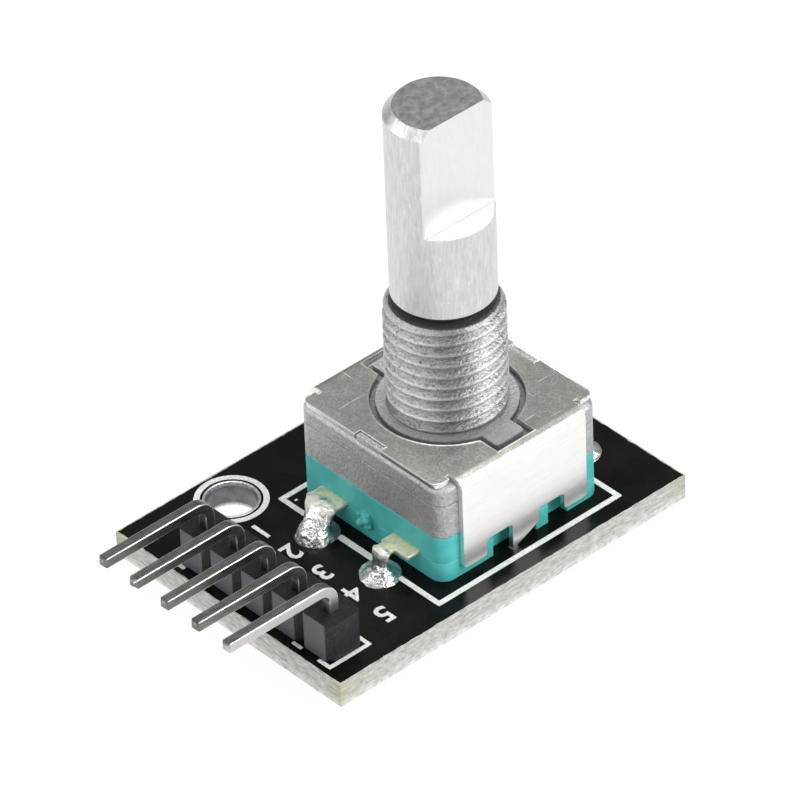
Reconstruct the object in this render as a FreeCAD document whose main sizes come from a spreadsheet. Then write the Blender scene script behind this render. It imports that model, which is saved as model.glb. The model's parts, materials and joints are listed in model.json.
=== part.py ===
import FreeCAD, Part
import math
import os
from types import SimpleNamespace

import Sketcher

# Rotary encoder with push switch on a five-pin breakout board.
# Millimetres. The origin is on the shaft axis at the panel seat, the top of the cover plate.
# +Z runs up the shaft, the header pins point along -X, and the mounting holes are on the +Y side.

V = FreeCAD.Vector
OVER = 1.0  # cutting tools run this far past the metal
doc = FreeCAD.newDocument("rotary_encoder_module")
parts = []

# ---------------------------------------------------------------- driving dimensions

DIMENSIONS = {
    # circuit board
    "seat_height": 6.75,  # board top to panel seat
    "board_length": 26.0,
    "board_width": 18.6,
    "board_thick": 1.6,
    "axis_from_end": 15.65,  # shaft axis to the header end
    "axis_from_side": 8.1,  # shaft axis to the plain long side
    "hole_radius": 1.5,
    "hole_back": 9.16,  # shaft axis to the visible hole, along X
    "hole_side": 8.12,
    "hole_pitch": 17.0,
    "plating_wall": 0.04,
    "ring_radius": 1.66,
    "foil": 0.035,
    # pin header
    "pin_pitch": 2.54,
    "pin_side": 0.64,
    "pin_taper": 0.16,
    "header_back": 13.65,
    "header_shift": -0.19,
    "block_notch": 0.4,
    "pin_rise": 4.5,  # board top to the top of the bent pins
    "pin_reach": 21.25,
    "pin_below": 3.0,  # board top to the pin's lower end
    "pin_bend": 1.2,
    "pin_hole": 0.5,
    # solder: radius at the board, radius at the far end, height
    "pin_fillet_foot": 0.92,
    "pin_fillet_tip": 0.4,
    "pin_fillet_height": 1.15,
    "leg_fillet_foot": 1.0,
    "leg_fillet_tip": 0.62,
    "leg_fillet_height": 0.85,
    "leg_blob_foot": 1.2,
    "leg_blob_tip": 0.62,
    "leg_blob_height": 1.0,
    "leg_blob_shift": 0.25,  # outward from the leg
    "lug_fillet_foot": 1.05,
    "lug_fillet_tip": 0.55,
    "lug_fillet_height": 0.8,
    # encoder body
    "body_length": 12.0,
    "body_width": 11.7,
    "body_corner": 0.9,
    "plate_thick": 0.35,
    "die_cast_height": 3.35,
    "encoder_base_height": 1.75,
    "switch_base_height": 1.3,
    "roof_depth": 1.2,
    "pocket_depth": 0.6,
    "pocket_rise": 0.5,
    "lug_pocket_left": -2.15,
    "lug_pocket_right": 1.05,
    "small_pocket_left": 2.0,
    "small_pocket_right": 3.4,
    "cavity_radius": 4.9,
    # cover plate
    "plate_length": 11.8,
    "plate_end_width": 10.9,
    "plate_corner": 0.5,
    "relief": 0.3,
    "side_length": 9.3,
    "side_gap": 0.7,
    "bend_radius": 0.6,
    "cutout_radius": 4.4,
    "boss_radius": 4.0,
    "key_half": 1.05,
    "key_reach": 5.15,
    "keyway_half": 1.4,
    "keyway_reach": 5.6,
    "end_notch_depth": 0.45,
    "end_notch_low": -0.95,
    "end_notch_high": 1.15,
    "notch_near": 1.0,
    "notch_far": 2.9,
    "notch_top": 4.95,
    "lug_drop": 0.85,
    "lug_width": 0.35,
    "lug_bottom": 9.35,
    "lug_shoulder": 0.15,  # board top to the foot of the lug's sloping side
    "barb_back": 0.4,
    "barb_drop": 0.3,
    "fit_gap": 0.05,
    # threaded bushing
    "thread_radius": 3.45,
    "bushing_length": 7.0,
    "bushing_chamfer": 0.45,
    "bushing_bore": 2.45,
    # shaft
    "shaft_radius": 3.0,
    "shaft_top": 20.0,
    "shaft_shoulder": 7.55,
    "shaft_chamfer": 0.45,
    "flat_offset": 1.5,
    "flat_bottom": 13.0,
    "neck_radius": 2.4,
    "tail_radius": 1.95,
    "tail_flat": 1.45,
    "tail_taper": 0.2,
    "tail_bottom": 4.93,
    "d_end_radius": 2.99,
    "clip_radius": 2.8,
    "clip_thick": 0.18,
    "clip_mouth": 2.4,
    "clip_groove": 0.35,
    "clip_play": 0.02,  # above and below the ring in its groove
    # rotor
    "rotor_radius": 4.6,
    "rotor_top": 1.75,
    "rotor_bottom": 3.2,
    "rotor_hub_radius": 2.4,
    "rotor_hub_bottom": 5.2,
    "rotor_well_radius": 3.15,
    "rotor_well_depth": 0.3,
    "detent_count": 20,
    "detent_depth": 0.22,
    "disc_thick": 0.15,
    "disc_inner": 2.7,
    "disc_margin": 0.1,
    "window_inner": 3.5,
    "window_outer": 4.2,
    "window_half": 0.3,
    # detent spring
    "spring_thick": 0.2,
    "spring_inner": 3.3,
    "spring_outer": 4.8,
    "dimple_drop": 0.16,
    "dimple_inner": 3.5,
    "dimple_outer": 4.4,
    "dimple_half": 0.12,
    # contacts and terminals
    "strip_thick": 0.25,
    "strip_width": 2.2,
    "strip_shift": 0.45,
    "strip_reach": 6.9,
    "strip_inner": 2.6,
    "leg_width": 1.0,
    "leg_reach": 7.6,
    "leg_side": 2.5,
    "leg_hole": 0.6,
    "contact_floor": 4.35,
    "finger_width": 0.5,
    "finger_top": 3.38,
    "contact_inner": 2.9,
    "finger_root": 3.2,
    "finger_root_end": 3.95,
    "finger_tip": 3.05,
    "finger_tip_end": 3.45,
    "finger_bow": 3.7,
    "finger_thick": 0.15,
    # push switch
    "switch_floor": 0.3,
    "well_radius": 3.2,
    "dome_radius": 2.9,
    "dome_height": 0.68,
    "dome_thick": 0.1,
    "plunger_radius": 1.9,
    "plunger_boss": 1.2,
    "plunger_flange": 0.3,
    # resistors under the board
    "chip_length": 1.6,
    "chip_width": 0.8,
    "chip_height": 0.45,
    "chip_cap": 0.3,
    "chip_back": 10.6,
    "chip_side": 1.6,
}


class Size:
    """A length that carries its value and the spreadsheet expression that gives it."""

    def __init__(self, value, text):
        self.value = value
        self.text = text

    def __add__(self, other):
        other = as_size(other)
        return Size(self.value + other.value, f"({self.text} + {other.text})")

    def __sub__(self, other):
        other = as_size(other)
        return Size(self.value - other.value, f"({self.text} - {other.text})")

    def __mul__(self, other):
        other = as_size(other)
        return Size(self.value * other.value, f"({self.text} * {other.text})")

    def __truediv__(self, other):
        other = as_size(other)
        return Size(self.value / other.value, f"({self.text} / {other.text})")

    def __neg__(self):
        return Size(-self.value, f"(-1 * {self.text})")


def as_size(item):
    return item if isinstance(item, Size) else Size(float(item), f"{float(item)}")


def fill_sheet():
    sheet = doc.addObject("Spreadsheet::Sheet", "sizes")
    for row, (name, value) in enumerate(DIMENSIONS.items(), start=1):
        sheet.set(f"A{row}", name)
        sheet.set(f"B{row}", str(value))
        sheet.setAlias(f"B{row}", name)
    doc.recompute()


fill_sheet()
d = SimpleNamespace(**{name: Size(value, "sizes." + name) for name, value in DIMENSIONS.items()})

# Heights that follow from the driving dimensions.
board_top = -d.seat_height
board_bottom = board_top - d.board_thick
block_top = -d.plate_thick
block_bottom = block_top - d.die_cast_height
split_level = block_bottom - d.encoder_base_height
switch_level = board_top + d.switch_floor
pin_end = board_top - d.pin_below
half_length = d.body_length / 2
half_width = d.body_width / 2
side_face = half_width + d.plate_thick
lug_left = -d.notch_near
lug_right = lug_left + d.lug_width
clip_low = -d.roof_depth - d.fit_gap - d.clip_thick

# ---------------------------------------------------------------- modelling helpers


def bind(item, prop, size):
    """Set a property to a size and keep it tied to the sheet."""
    size = as_size(size)
    item.setExpression(prop, size.text)
    return size.value


def part_body(name):
    body = doc.addObject("PartDesign::Body", name)
    body.Label = name
    parts.append(body)
    return body


def sketch_on(body, plane, offset=0.0):
    """A sketch on one of the body's own planes, moved along the plane's normal."""
    sketch = body.newObject("Sketcher::SketchObject", body.Name + "_sketch")
    face = [item for item in body.Origin.OriginFeatures if item.Role == plane][0]
    sketch.AttachmentSupport = [(face, "")]
    sketch.MapMode = "FlatFace"
    bind(sketch, "AttachmentOffset.Base.z", offset)
    return sketch


def pin_down(sketch, geometry, point, across, up):
    """Hold one point of a sketch at its distances from the origin."""
    for kind, size in (("DistanceX", across), ("DistanceY", up)):
        size = as_size(size)
        index = sketch.addConstraint(Sketcher.Constraint(kind, -1, 1, geometry, point, size.value))
        name = f"c{index}"
        sketch.renameConstraint(index, name)
        sketch.setExpression("Constraints." + name, size.text)


def polygon(sketch, points):
    points = [(as_size(across), as_size(up)) for across, up in points]
    corners = [V(across.value, up.value, 0) for across, up in points]
    following = corners[1:] + corners[:1]
    lines = [
        sketch.addGeometry(Part.LineSegment(start, end), False)
        for start, end in zip(corners, following)
    ]
    for line, after in zip(lines, lines[1:] + lines[:1]):
        sketch.addConstraint(Sketcher.Constraint("Coincident", line, 2, after, 1))
    for line, (across, up) in zip(lines, points):
        pin_down(sketch, line, 1, across, up)


def rectangle(sketch, left, right, low, high):
    polygon(sketch, [(left, low), (right, low), (right, high), (left, high)])


def circle(sketch, across, up, radius):
    across, up, radius = as_size(across), as_size(up), as_size(radius)
    centre = V(across.value, up.value, 0)
    ring = sketch.addGeometry(Part.Circle(centre, V(0, 0, 1), radius.value), False)
    pin_down(sketch, ring, 3, across, up)
    index = sketch.addConstraint(Sketcher.Constraint("Radius", ring, radius.value))
    name = f"c{index}"
    sketch.renameConstraint(index, name)
    sketch.setExpression("Constraints." + name, radius.text)


def feature(body, kind, sketch):
    item = body.newObject("PartDesign::" + kind, body.Name + "_" + kind.lower())
    item.Profile = sketch
    return item


def pad(body, sketch, length, reverse=False):
    item = feature(body, "Pad", sketch)
    bind(item, "Length", length)
    item.Reversed = reverse
    doc.recompute()
    return item


def checked_cut(item, before):
    """Stop if a cutting feature has removed nothing."""
    doc.recompute()
    if not item.Shape.Volume < before - 1e-6:
        raise RuntimeError(item.Name + " cuts nothing")
    return item


def pocket(body, sketch, length, reverse=False):
    """Cut against the sketch's normal, or along it when reversed."""
    before = body.Tip.Shape.Volume
    item = feature(body, "Pocket", sketch)
    bind(item, "Length", length)
    item.Reversed = reverse
    return checked_cut(item, before)


def revolve(body, sketch):
    item = feature(body, "Revolution", sketch)
    item.ReferenceAxis = (sketch, ["V_Axis"])
    item.Angle = 360
    doc.recompute()
    return item


def groove(body, sketch):
    before = body.Tip.Shape.Volume
    item = feature(body, "Groove", sketch)
    item.ReferenceAxis = (sketch, ["V_Axis"])
    item.Angle = 360
    return checked_cut(item, before)


def edges_of(item, wanted):
    names = []
    for number, edge in enumerate(item.Shape.Edges, start=1):
        if wanted(edge):
            names.append(f"Edge{number}")
    return names


def dress(body, kind, prop, size, wanted):
    """Fillet or chamfer the chosen edges of the body's last feature."""
    base = body.Tip
    names = edges_of(base, wanted)
    item = body.newObject("PartDesign::" + kind, body.Name + "_" + kind.lower())
    item.Base = (base, names)
    bind(item, prop, size)
    doc.recompute()
    return item


def fillet(body, radius, wanted):
    return dress(body, "Fillet", "Radius", radius, wanted)


def chamfer(body, size, wanted):
    return dress(body, "Chamfer", "Size", size, wanted)


def polar(body, source, count, angle=360.0):
    pattern = body.newObject("PartDesign::PolarPattern", body.Name + "_pattern")
    pattern.Originals = [source]
    pattern.Axis = ([a for a in body.Origin.OriginFeatures if a.Role == "Z_Axis"][0], [""])
    pattern.Angle = angle
    pattern.Occurrences = count
    body.Tip = pattern
    doc.recompute()
    return pattern


def is_upright(edge):
    box = edge.BoundBox
    return box.ZLength > 0.1 and box.XLength < 1e-6 and box.YLength < 1e-6


def near(value, size, tolerance=1e-4):
    return abs(value - as_size(size).value) < tolerance


def corner_upright(edge):
    box = edge.BoundBox
    return is_upright(edge) and near(abs(box.XMin), half_length) and near(abs(box.YMin), half_width)


# ---------------------------------------------------------------- places shared by pieces

header_pins = {
    "gnd": d.header_shift + d.pin_pitch * 2,
    "plus": d.header_shift + d.pin_pitch,
    "sw": d.header_shift,
    "dt": d.header_shift - d.pin_pitch,
    "clk": d.header_shift - d.pin_pitch * 2,
}
contact_rows = {"contact_a": d.leg_side, "contact_common": as_size(0), "contact_b": -d.leg_side}
switch_rows = {"switch_terminal_left": d.leg_side, "switch_terminal_right": -d.leg_side}
leg_places = [(d.leg_reach, row) for row in contact_rows.values()]
leg_places += [(-d.leg_reach, row) for row in switch_rows.values()]
hole_places = [(-d.hole_back, d.hole_side), (d.hole_pitch - d.hole_back, d.hole_side)]
lug_side = half_width + d.plate_thick / 2


# ---------------------------------------------------------------- board


def make_circuit_board():
    body = part_body("circuit_board")
    sheet = sketch_on(body, "XY_Plane", board_bottom)
    left = -d.axis_from_end
    low = -d.axis_from_side
    rectangle(sheet, left, left + d.board_length, low, low + d.board_width)
    pad(body, sheet, d.board_thick)
    holes = sketch_on(body, "XY_Plane", board_top)
    for across, up in hole_places:
        circle(holes, across, up, d.hole_radius + d.plating_wall)
    for row in header_pins.values():
        circle(holes, -d.header_back, row, d.pin_hole)
    for across, row in leg_places:
        circle(holes, across, row, d.leg_hole)
    for side in (1, -1):
        slot_low = (half_width - d.fit_gap) * side
        slot_high = (side_face + d.fit_gap) * side
        rectangle(holes, lug_left - d.fit_gap, lug_right + d.fit_gap, slot_low, slot_high)
    pocket(body, holes, d.board_thick)


def make_hole_plating():
    body = part_body("hole_plating")
    for across, up in hole_places:
        rim = sketch_on(body, "XY_Plane", board_bottom - d.foil)
        circle(rim, across, up, d.ring_radius)
        circle(rim, across, up, d.hole_radius)
        pad(body, rim, d.foil)
        tube = sketch_on(body, "XY_Plane", board_bottom)
        circle(tube, across, up, d.hole_radius + d.plating_wall)
        circle(tube, across, up, d.hole_radius)
        pad(body, tube, d.board_thick)
        rim = sketch_on(body, "XY_Plane", board_top)
        circle(rim, across, up, d.ring_radius)
        circle(rim, across, up, d.hole_radius)
        pad(body, rim, d.foil)


# ---------------------------------------------------------------- pin header


def make_header_housing():
    body = part_body("header_housing")
    half = d.pin_pitch / 2
    notch = d.block_notch
    back = -d.header_back
    outline = sketch_on(body, "XY_Plane", board_top)
    rows = sorted(header_pins.values(), key=lambda row: row.value)
    low_end = rows[0] - half
    right_side = [(back + half - notch, low_end), (back + half, low_end + notch)]
    left_side = [(back - half + notch, low_end), (back - half, low_end + notch)]
    for row in rows[:-1]:
        joint = row + half
        for rise, depth in ((-notch, 0), (0, notch), (notch, 0)):
            right_side.append((back + half - depth, joint + rise))
            left_side.append((back - half + depth, joint + rise))
    high_end = rows[-1] + half
    right_side += [(back + half, high_end - notch), (back + half - notch, high_end)]
    left_side += [(back - half, high_end - notch), (back - half + notch, high_end)]
    polygon(outline, right_side + left_side[::-1])
    pad(body, outline, d.pin_pitch)
    holes = sketch_on(body, "XY_Plane", board_top + d.pin_pitch)
    reach = d.pin_side / 2
    for row in header_pins.values():
        rectangle(holes, back - reach, back + reach, row - reach, row + reach)
    pocket(body, holes, d.pin_pitch)


def make_header_pin(name, row):
    body = part_body("header_pin_" + name)
    reach = d.pin_side / 2
    back = -d.header_back
    top = board_top + d.pin_rise
    side = sketch_on(body, "XZ_Plane", -(row + reach))
    polygon(
        side,
        [
            (back - reach, pin_end),
            (back + reach, pin_end),
            (back + reach, top),
            (-d.pin_reach, top),
            (-d.pin_reach, top - d.pin_side),
            (back - reach, top - d.pin_side),
        ],
    )
    pad(body, side, d.pin_side)

    def across(edge, place, level):
        box = edge.BoundBox
        return box.YLength > 0.1 and near(box.XMin, place) and near(box.ZMin, level)

    fillet(body, d.pin_bend, lambda edge: across(edge, back + reach, top))
    fillet(body, d.pin_bend - d.pin_side, lambda edge: across(edge, back - reach, top - d.pin_side))

    def at_ends(edge):
        box = edge.BoundBox
        at_tip = near(box.XMin, -d.pin_reach) and box.XLength < 1e-6
        return at_tip or (near(box.ZMin, pin_end) and box.ZLength < 1e-6)

    chamfer(body, d.pin_taper, at_ends)


# ---------------------------------------------------------------- solder joints


def cone_frustum(name, low_radius, high_radius, height, across, up, level):
    item = doc.addObject("Part::Cone", name)
    bind(item, "Radius1", low_radius)
    bind(item, "Radius2", high_radius)
    bind(item, "Height", height)
    bind(item, "Placement.Base.x", across)
    bind(item, "Placement.Base.y", up)
    bind(item, "Placement.Base.z", level)
    return item


def block(name, low, size):
    item = doc.addObject("Part::Box", name)
    for prop, length in zip(("Length", "Width", "Height"), size):
        bind(item, prop, length)
    for axis, place in zip("xyz", low):
        bind(item, "Placement.Base." + axis, place)
    return item


def cylinder(name, radius, height, across, up, level):
    item = doc.addObject("Part::Cylinder", name)
    bind(item, "Radius", radius)
    bind(item, "Height", height)
    bind(item, "Placement.Base.x", across)
    bind(item, "Placement.Base.y", up)
    bind(item, "Placement.Base.z", level)
    return item


def solder_joint(name, place, barrel, wire, under, over=None):
    """Solder in a plated hole: the barrel's fill, a fillet below and perhaps a blob on top.

    wire is the leg's size along X and Y; under and over are (foot radius, tip radius, height,
    shift along X).
    """
    across, up = place
    foot, tip, height, shift = under
    pieces = [
        cylinder(name + "_barrel", barrel, d.board_thick, across, up, board_bottom),
        cone_frustum(
            name + "_under", tip, foot, height, across + shift, up, board_bottom - height
        ),
    ]
    if over:
        foot, tip, height, shift = over
        pieces.append(
            cone_frustum(name + "_over", foot, tip, height, across + shift, up, board_top)
        )
    solid = doc.addObject("Part::MultiFuse", name + "_solid")
    solid.Shapes = pieces
    leg = block(
        name + "_leg",
        (across - wire[0] / 2, up - wire[1] / 2, pin_end - OVER),
        (wire[0], wire[1], d.seat_height),
    )
    joint = doc.addObject("Part::Cut", name)
    joint.Base = solid
    joint.Tool = leg
    return joint


def gather(name, items):
    group = doc.addObject("Part::Compound", name)
    group.Label = name
    group.Links = items
    parts.append(group)


def make_header_solder():
    under = (d.pin_fillet_foot, d.pin_fillet_tip, d.pin_fillet_height, 0.0)
    wire = (d.pin_side, d.pin_side)
    joints = [
        solder_joint("pin_joint_" + name, (-d.header_back, row), d.pin_hole, wire, under)
        for name, row in header_pins.items()
    ]
    gather("header_solder", joints)


def make_terminal_solder():
    under = (d.leg_fillet_foot, d.leg_fillet_tip, d.leg_fillet_height, 0.0)
    wire = (d.strip_thick, d.leg_width)
    joints = []
    for number, place in enumerate(leg_places, start=1):
        outward = math.copysign(1, place[0].value)
        shift = d.leg_blob_shift * outward
        over = (d.leg_blob_foot, d.leg_blob_tip, d.leg_blob_height, shift)
        joints.append(
            solder_joint(f"leg_joint_{number}", place, d.leg_hole, wire, under, over)
        )
    gather("terminal_solder", joints)


def make_lug_solder():
    """A fillet of solder round each cover lug under the board."""
    width = lug_right - lug_left
    middle = (lug_right + lug_left) / 2
    joints = []
    for side in (1, -1):
        name = "lug_joint_far" if side > 0 else "lug_joint_near"
        height = d.lug_fillet_height
        mound = cone_frustum(
            name + "_mound",
            d.lug_fillet_tip,
            d.lug_fillet_foot,
            height,
            middle,
            lug_side * side,
            board_bottom - height,
        )
        leg = block(
            name + "_leg",
            (lug_left, lug_side * side - d.plate_thick / 2, board_bottom - OVER),
            (width, d.plate_thick, OVER * 2),
        )
        joint = doc.addObject("Part::Cut", name)
        joint.Base = mound
        joint.Tool = leg
        joints.append(joint)
    gather("lug_solder", joints)


# ---------------------------------------------------------------- resistors under the board


def chip_blocks(kind):
    items = []
    for side in (1, -1):
        left = -d.chip_back - d.chip_length / 2
        near_side = d.chip_side * side - d.chip_width / 2
        low = board_bottom - d.chip_height
        cap = (d.chip_cap, d.chip_width, d.chip_height)
        name = f"{kind}_{'far' if side > 0 else 'near'}"
        if kind == "chip":
            middle = d.chip_length - d.chip_cap * 2
            items.append(
                block(name, (left + d.chip_cap, near_side, low), (middle, d.chip_width, d.chip_height))
            )
            continue
        for end, place in (("left", left), ("right", left + d.chip_length - d.chip_cap)):
            items.append(block(f"{name}_{end}", (place, near_side, low), cap))
    return items


def make_resistors():
    gather("pullup_resistors", chip_blocks("chip"))
    gather("resistor_end_caps", chip_blocks("cap"))


# ---------------------------------------------------------------- encoder body


def make_bushing_housing():
    """Die-cast block, boss and threaded bushing in one casting."""
    body = part_body("bushing_housing")
    outline = sketch_on(body, "XY_Plane", block_bottom)
    rectangle(outline, -half_length, half_length, -half_width, half_width)
    pad(body, outline, d.die_cast_height)
    fillet(body, d.body_corner, corner_upright)
    fillet(body, d.bend_radius / 2, lambda edge: near(edge.BoundBox.ZMin, block_top))

    boss_foot = block_top - d.bend_radius
    boss = sketch_on(body, "XY_Plane", boss_foot)
    circle(boss, 0, 0, d.boss_radius)
    pad(body, boss, -boss_foot)
    keys = sketch_on(body, "XY_Plane", boss_foot)
    for side in (1, -1):
        rectangle(keys, -d.key_half, d.key_half, d.thread_radius * side, d.key_reach * side)
    pad(body, keys, -boss_foot)

    turned = sketch_on(body, "XZ_Plane")
    top = d.bushing_length
    polygon(
        turned,
        [
            (0, block_top),
            (d.thread_radius, block_top),
            (d.thread_radius, top - d.bushing_chamfer),
            (d.thread_radius - d.bushing_chamfer, top),
            (0, top),
        ],
    )
    revolve(body, turned)

    hollow = sketch_on(body, "XZ_Plane")
    roof = -d.roof_depth
    polygon(
        hollow,
        [
            (0, block_bottom - OVER),
            (d.cavity_radius, block_bottom - OVER),
            (d.cavity_radius, roof),
            (d.bushing_bore, roof),
            (d.bushing_bore, top + OVER),
            (0, top + OVER),
        ],
    )
    groove(body, hollow)


def make_cover_plate():
    """Folded steel cover: top, two sides, four feet and two board lugs."""
    body = part_body("cover_plate")
    side = d.side_length / 2
    foot = board_top + d.side_gap
    notch = -d.notch_top
    profile = sketch_on(body, "XZ_Plane", -side_face)
    polygon(
        profile,
        [
            (-side, 0),
            (-side, foot),
            (-d.notch_far, foot),
            (-d.notch_far, notch),
            (-d.notch_near, notch),
            (lug_left, board_top),
            (lug_left, -d.lug_bottom),
            (lug_right, -d.lug_bottom),
            (lug_right, board_top + d.lug_shoulder),
            (d.barb_back, notch - d.lug_drop - d.barb_drop),
            (d.notch_near, notch - d.lug_drop),
            (d.notch_near, notch),
            (d.notch_far, notch),
            (d.notch_far, foot),
            (side, foot),
            (side, 0),
        ],
    )
    pad(body, profile, side_face * 2)
    inside = sketch_on(body, "YZ_Plane", side + OVER)
    rectangle(inside, -half_width, half_width, -d.lug_bottom - OVER, block_top)
    pocket(body, inside, (side + OVER) * 2)

    def along_bend(edge, place, level):
        box = edge.BoundBox
        return box.XLength > 5 and near(abs(box.YMin), place) and near(box.ZMin, level)

    fillet(body, d.bend_radius, lambda edge: along_bend(edge, side_face, 0))
    fillet(body, d.bend_radius - d.plate_thick, lambda edge: along_bend(edge, half_width, block_top))

    end = d.plate_length / 2
    wing = d.plate_end_width / 2
    top = sketch_on(body, "XY_Plane", block_top)
    rectangle(top, -end, end, -wing, wing)
    pad(body, top, d.plate_thick)

    def wing_corner(edge):
        box = edge.BoundBox
        return is_upright(edge) and near(abs(box.XMin), end) and near(abs(box.YMin), wing)

    fillet(body, d.plate_corner, wing_corner)
    reliefs = sketch_on(body, "XY_Plane", 0)
    for across in (side, -side - d.relief):
        for way in (1, -1):
            rectangle(reliefs, across, across + d.relief, (wing - d.relief) * way, half_width * way)
    pocket(body, reliefs, d.plate_thick)
    window = sketch_on(body, "XY_Plane", 0)
    circle(window, 0, 0, d.cutout_radius)
    pocket(body, window, d.plate_thick)
    keyways = sketch_on(body, "XY_Plane", 0)
    for way in (1, -1):
        rectangle(keyways, -d.keyway_half, d.keyway_half, way, d.keyway_reach * way)
    pocket(body, keyways, d.plate_thick)
    end_notches = sketch_on(body, "XY_Plane", 0)
    for way in (1, -1):
        inner = (end - d.end_notch_depth) * way
        outer = (half_length + OVER) * way
        rectangle(end_notches, inner, outer, d.end_notch_low * -way, d.end_notch_high * -way)
    pocket(body, end_notches, d.plate_thick)


def strip_span(row):
    """Low and high sides of a switch terminal's broad strip, set outward of its leg."""
    outward = math.copysign(1, row.value)
    middle = row + d.strip_shift * outward
    return middle - d.strip_width / 2, middle + d.strip_width / 2


def base_block(name, low, height):
    body = part_body(name)
    outline = sketch_on(body, "XY_Plane", low)
    rectangle(outline, -half_length, half_length, -half_width, half_width)
    pad(body, outline, height)
    fillet(body, d.body_corner, corner_upright)
    return body


def cut_side_pockets(body, high, height):
    """Pockets in both long sides, behind the cover's notches."""
    for side in (1, -1):
        pockets = sketch_on(body, "XY_Plane", high)
        inner = (half_width - d.pocket_depth) * side
        outer = (half_width + OVER) * side
        rectangle(pockets, d.lug_pocket_left, d.lug_pocket_right, inner, outer)
        rectangle(pockets, d.small_pocket_left, d.small_pocket_right, inner, outer)
        pocket(body, pockets, height)


def make_encoder_base():
    """Upper moulded base, which carries the wiper contacts."""
    body = base_block("encoder_base", split_level, d.encoder_base_height)
    bowl = sketch_on(body, "XY_Plane", block_bottom)
    circle(bowl, 0, 0, d.cavity_radius)
    pocket(body, bowl, block_bottom + d.contact_floor)
    bearing = sketch_on(body, "XY_Plane", block_bottom)
    circle(bearing, 0, 0, d.rotor_hub_radius + d.fit_gap)
    pocket(body, bearing, d.encoder_base_height)
    slots = sketch_on(body, "XY_Plane", -d.contact_floor + d.strip_thick)
    for row in contact_rows.values():
        rectangle(slots, d.finger_root, half_length + OVER, row - d.leg_width / 2, row + d.leg_width / 2)
    pocket(body, slots, d.strip_thick)
    seats = sketch_on(body, "XY_Plane", split_level)
    for row in switch_rows.values():
        rectangle(seats, -half_length - OVER, -d.strip_inner, *strip_span(row))
    pocket(body, seats, d.strip_thick, reverse=True)
    cut_side_pockets(body, split_level + d.pocket_rise, d.pocket_rise)


def make_switch_base():
    """Lower moulded base, which carries the push switch."""
    body = base_block("switch_base", board_top, d.switch_base_height)
    well = sketch_on(body, "XY_Plane", split_level)
    circle(well, 0, 0, d.well_radius)
    pocket(body, well, split_level - switch_level)
    cut_side_pockets(body, split_level, d.switch_base_height)


def make_contact(name, row):
    """Wiper contact: a finger under the code disc, a strip through the wall and a board leg."""
    body = part_body(name)
    floor = -d.contact_floor
    thick = d.strip_thick
    outer = d.leg_reach + thick / 2
    lay = sketch_on(body, "XZ_Plane", -(row + d.leg_width / 2))
    polygon(
        lay,
        [
            (d.contact_inner, floor),
            (outer - thick, floor),
            (outer - thick, -d.lug_bottom),
            (outer, -d.lug_bottom),
            (outer, floor + thick),
            (d.contact_inner, floor + thick),
        ],
    )
    pad(body, lay, d.leg_width)
    tip = -d.finger_top
    finger = sketch_on(body, "XZ_Plane", -(row + d.finger_width / 2))
    polygon(
        finger,
        [
            (d.finger_root, floor + thick),
            (d.finger_root_end, floor + thick),
            (d.finger_tip_end, tip),
            (d.finger_tip, tip),
            (d.finger_tip, tip - d.finger_thick),
            (d.finger_tip_end - d.finger_thick, tip - d.finger_thick),
            (d.finger_bow, floor + thick + d.finger_thick),
            (d.finger_root, floor + thick + d.finger_thick),
        ],
    )
    pad(body, finger, d.finger_width)

    def outer_bend(edge):
        box = edge.BoundBox
        return box.YLength > 0.1 and near(box.XMin, outer) and near(box.ZMin, floor + thick)

    fillet(body, thick * 2, outer_bend)


def make_switch_terminal(name, row):
    """Switch terminal: a broad strip between the two bases, bent down to a narrow leg."""
    body = part_body(name)
    thick = d.strip_thick
    outer = -d.leg_reach - thick / 2
    strip = sketch_on(body, "XY_Plane", split_level)
    rectangle(strip, -d.strip_reach, -d.strip_inner, *strip_span(row))
    pad(body, strip, thick)
    neck = sketch_on(body, "XY_Plane", split_level)
    rectangle(neck, outer, -d.strip_inner, row - d.leg_width / 2, row + d.leg_width / 2)
    pad(body, neck, thick)
    leg = sketch_on(body, "XY_Plane", split_level)
    rectangle(leg, outer, outer + thick, row - d.leg_width / 2, row + d.leg_width / 2)
    pad(body, leg, split_level + d.lug_bottom, reverse=True)

    def outer_bend(edge):
        box = edge.BoundBox
        return box.YLength > 0.1 and near(box.XMin, outer) and near(box.ZMin, split_level + thick)

    fillet(body, thick * 0.8, outer_bend)


# ---------------------------------------------------------------- turning pieces


def make_shaft():
    body = part_body("shaft")
    turned = sketch_on(body, "XZ_Plane")
    top = d.shaft_top
    rim = d.shaft_radius
    neck = d.neck_radius
    tail = d.tail_radius
    clip_high = clip_low + d.clip_thick + d.clip_play
    polygon(
        turned,
        [
            (0, -d.tail_bottom),
            (tail - d.tail_taper, -d.tail_bottom),
            (tail, -d.tail_bottom + d.tail_taper),
            (tail, clip_low - d.clip_play),
            (tail - d.clip_groove, clip_low - d.clip_play),
            (tail - d.clip_groove, clip_high),
            (neck, clip_high),
            (neck, d.shaft_shoulder),
            (rim, d.shaft_shoulder),
            (rim, d.flat_bottom),
            (d.d_end_radius, d.flat_bottom),
            (d.d_end_radius, top - d.shaft_chamfer),
            (d.d_end_radius - d.shaft_chamfer, top),
            (0, top),
        ],
    )
    revolve(body, turned)
    flat = sketch_on(body, "XY_Plane", top)
    rectangle(flat, -rim - OVER, rim + OVER, -rim - OVER, -d.flat_offset)
    pocket(body, flat, top - d.flat_bottom)
    tail_flats = sketch_on(body, "XY_Plane", clip_low - d.clip_play)
    for side in (1, -1):
        rectangle(tail_flats, -rim, rim, d.tail_flat * side, rim * side)
    pocket(body, tail_flats, d.tail_bottom)


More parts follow.
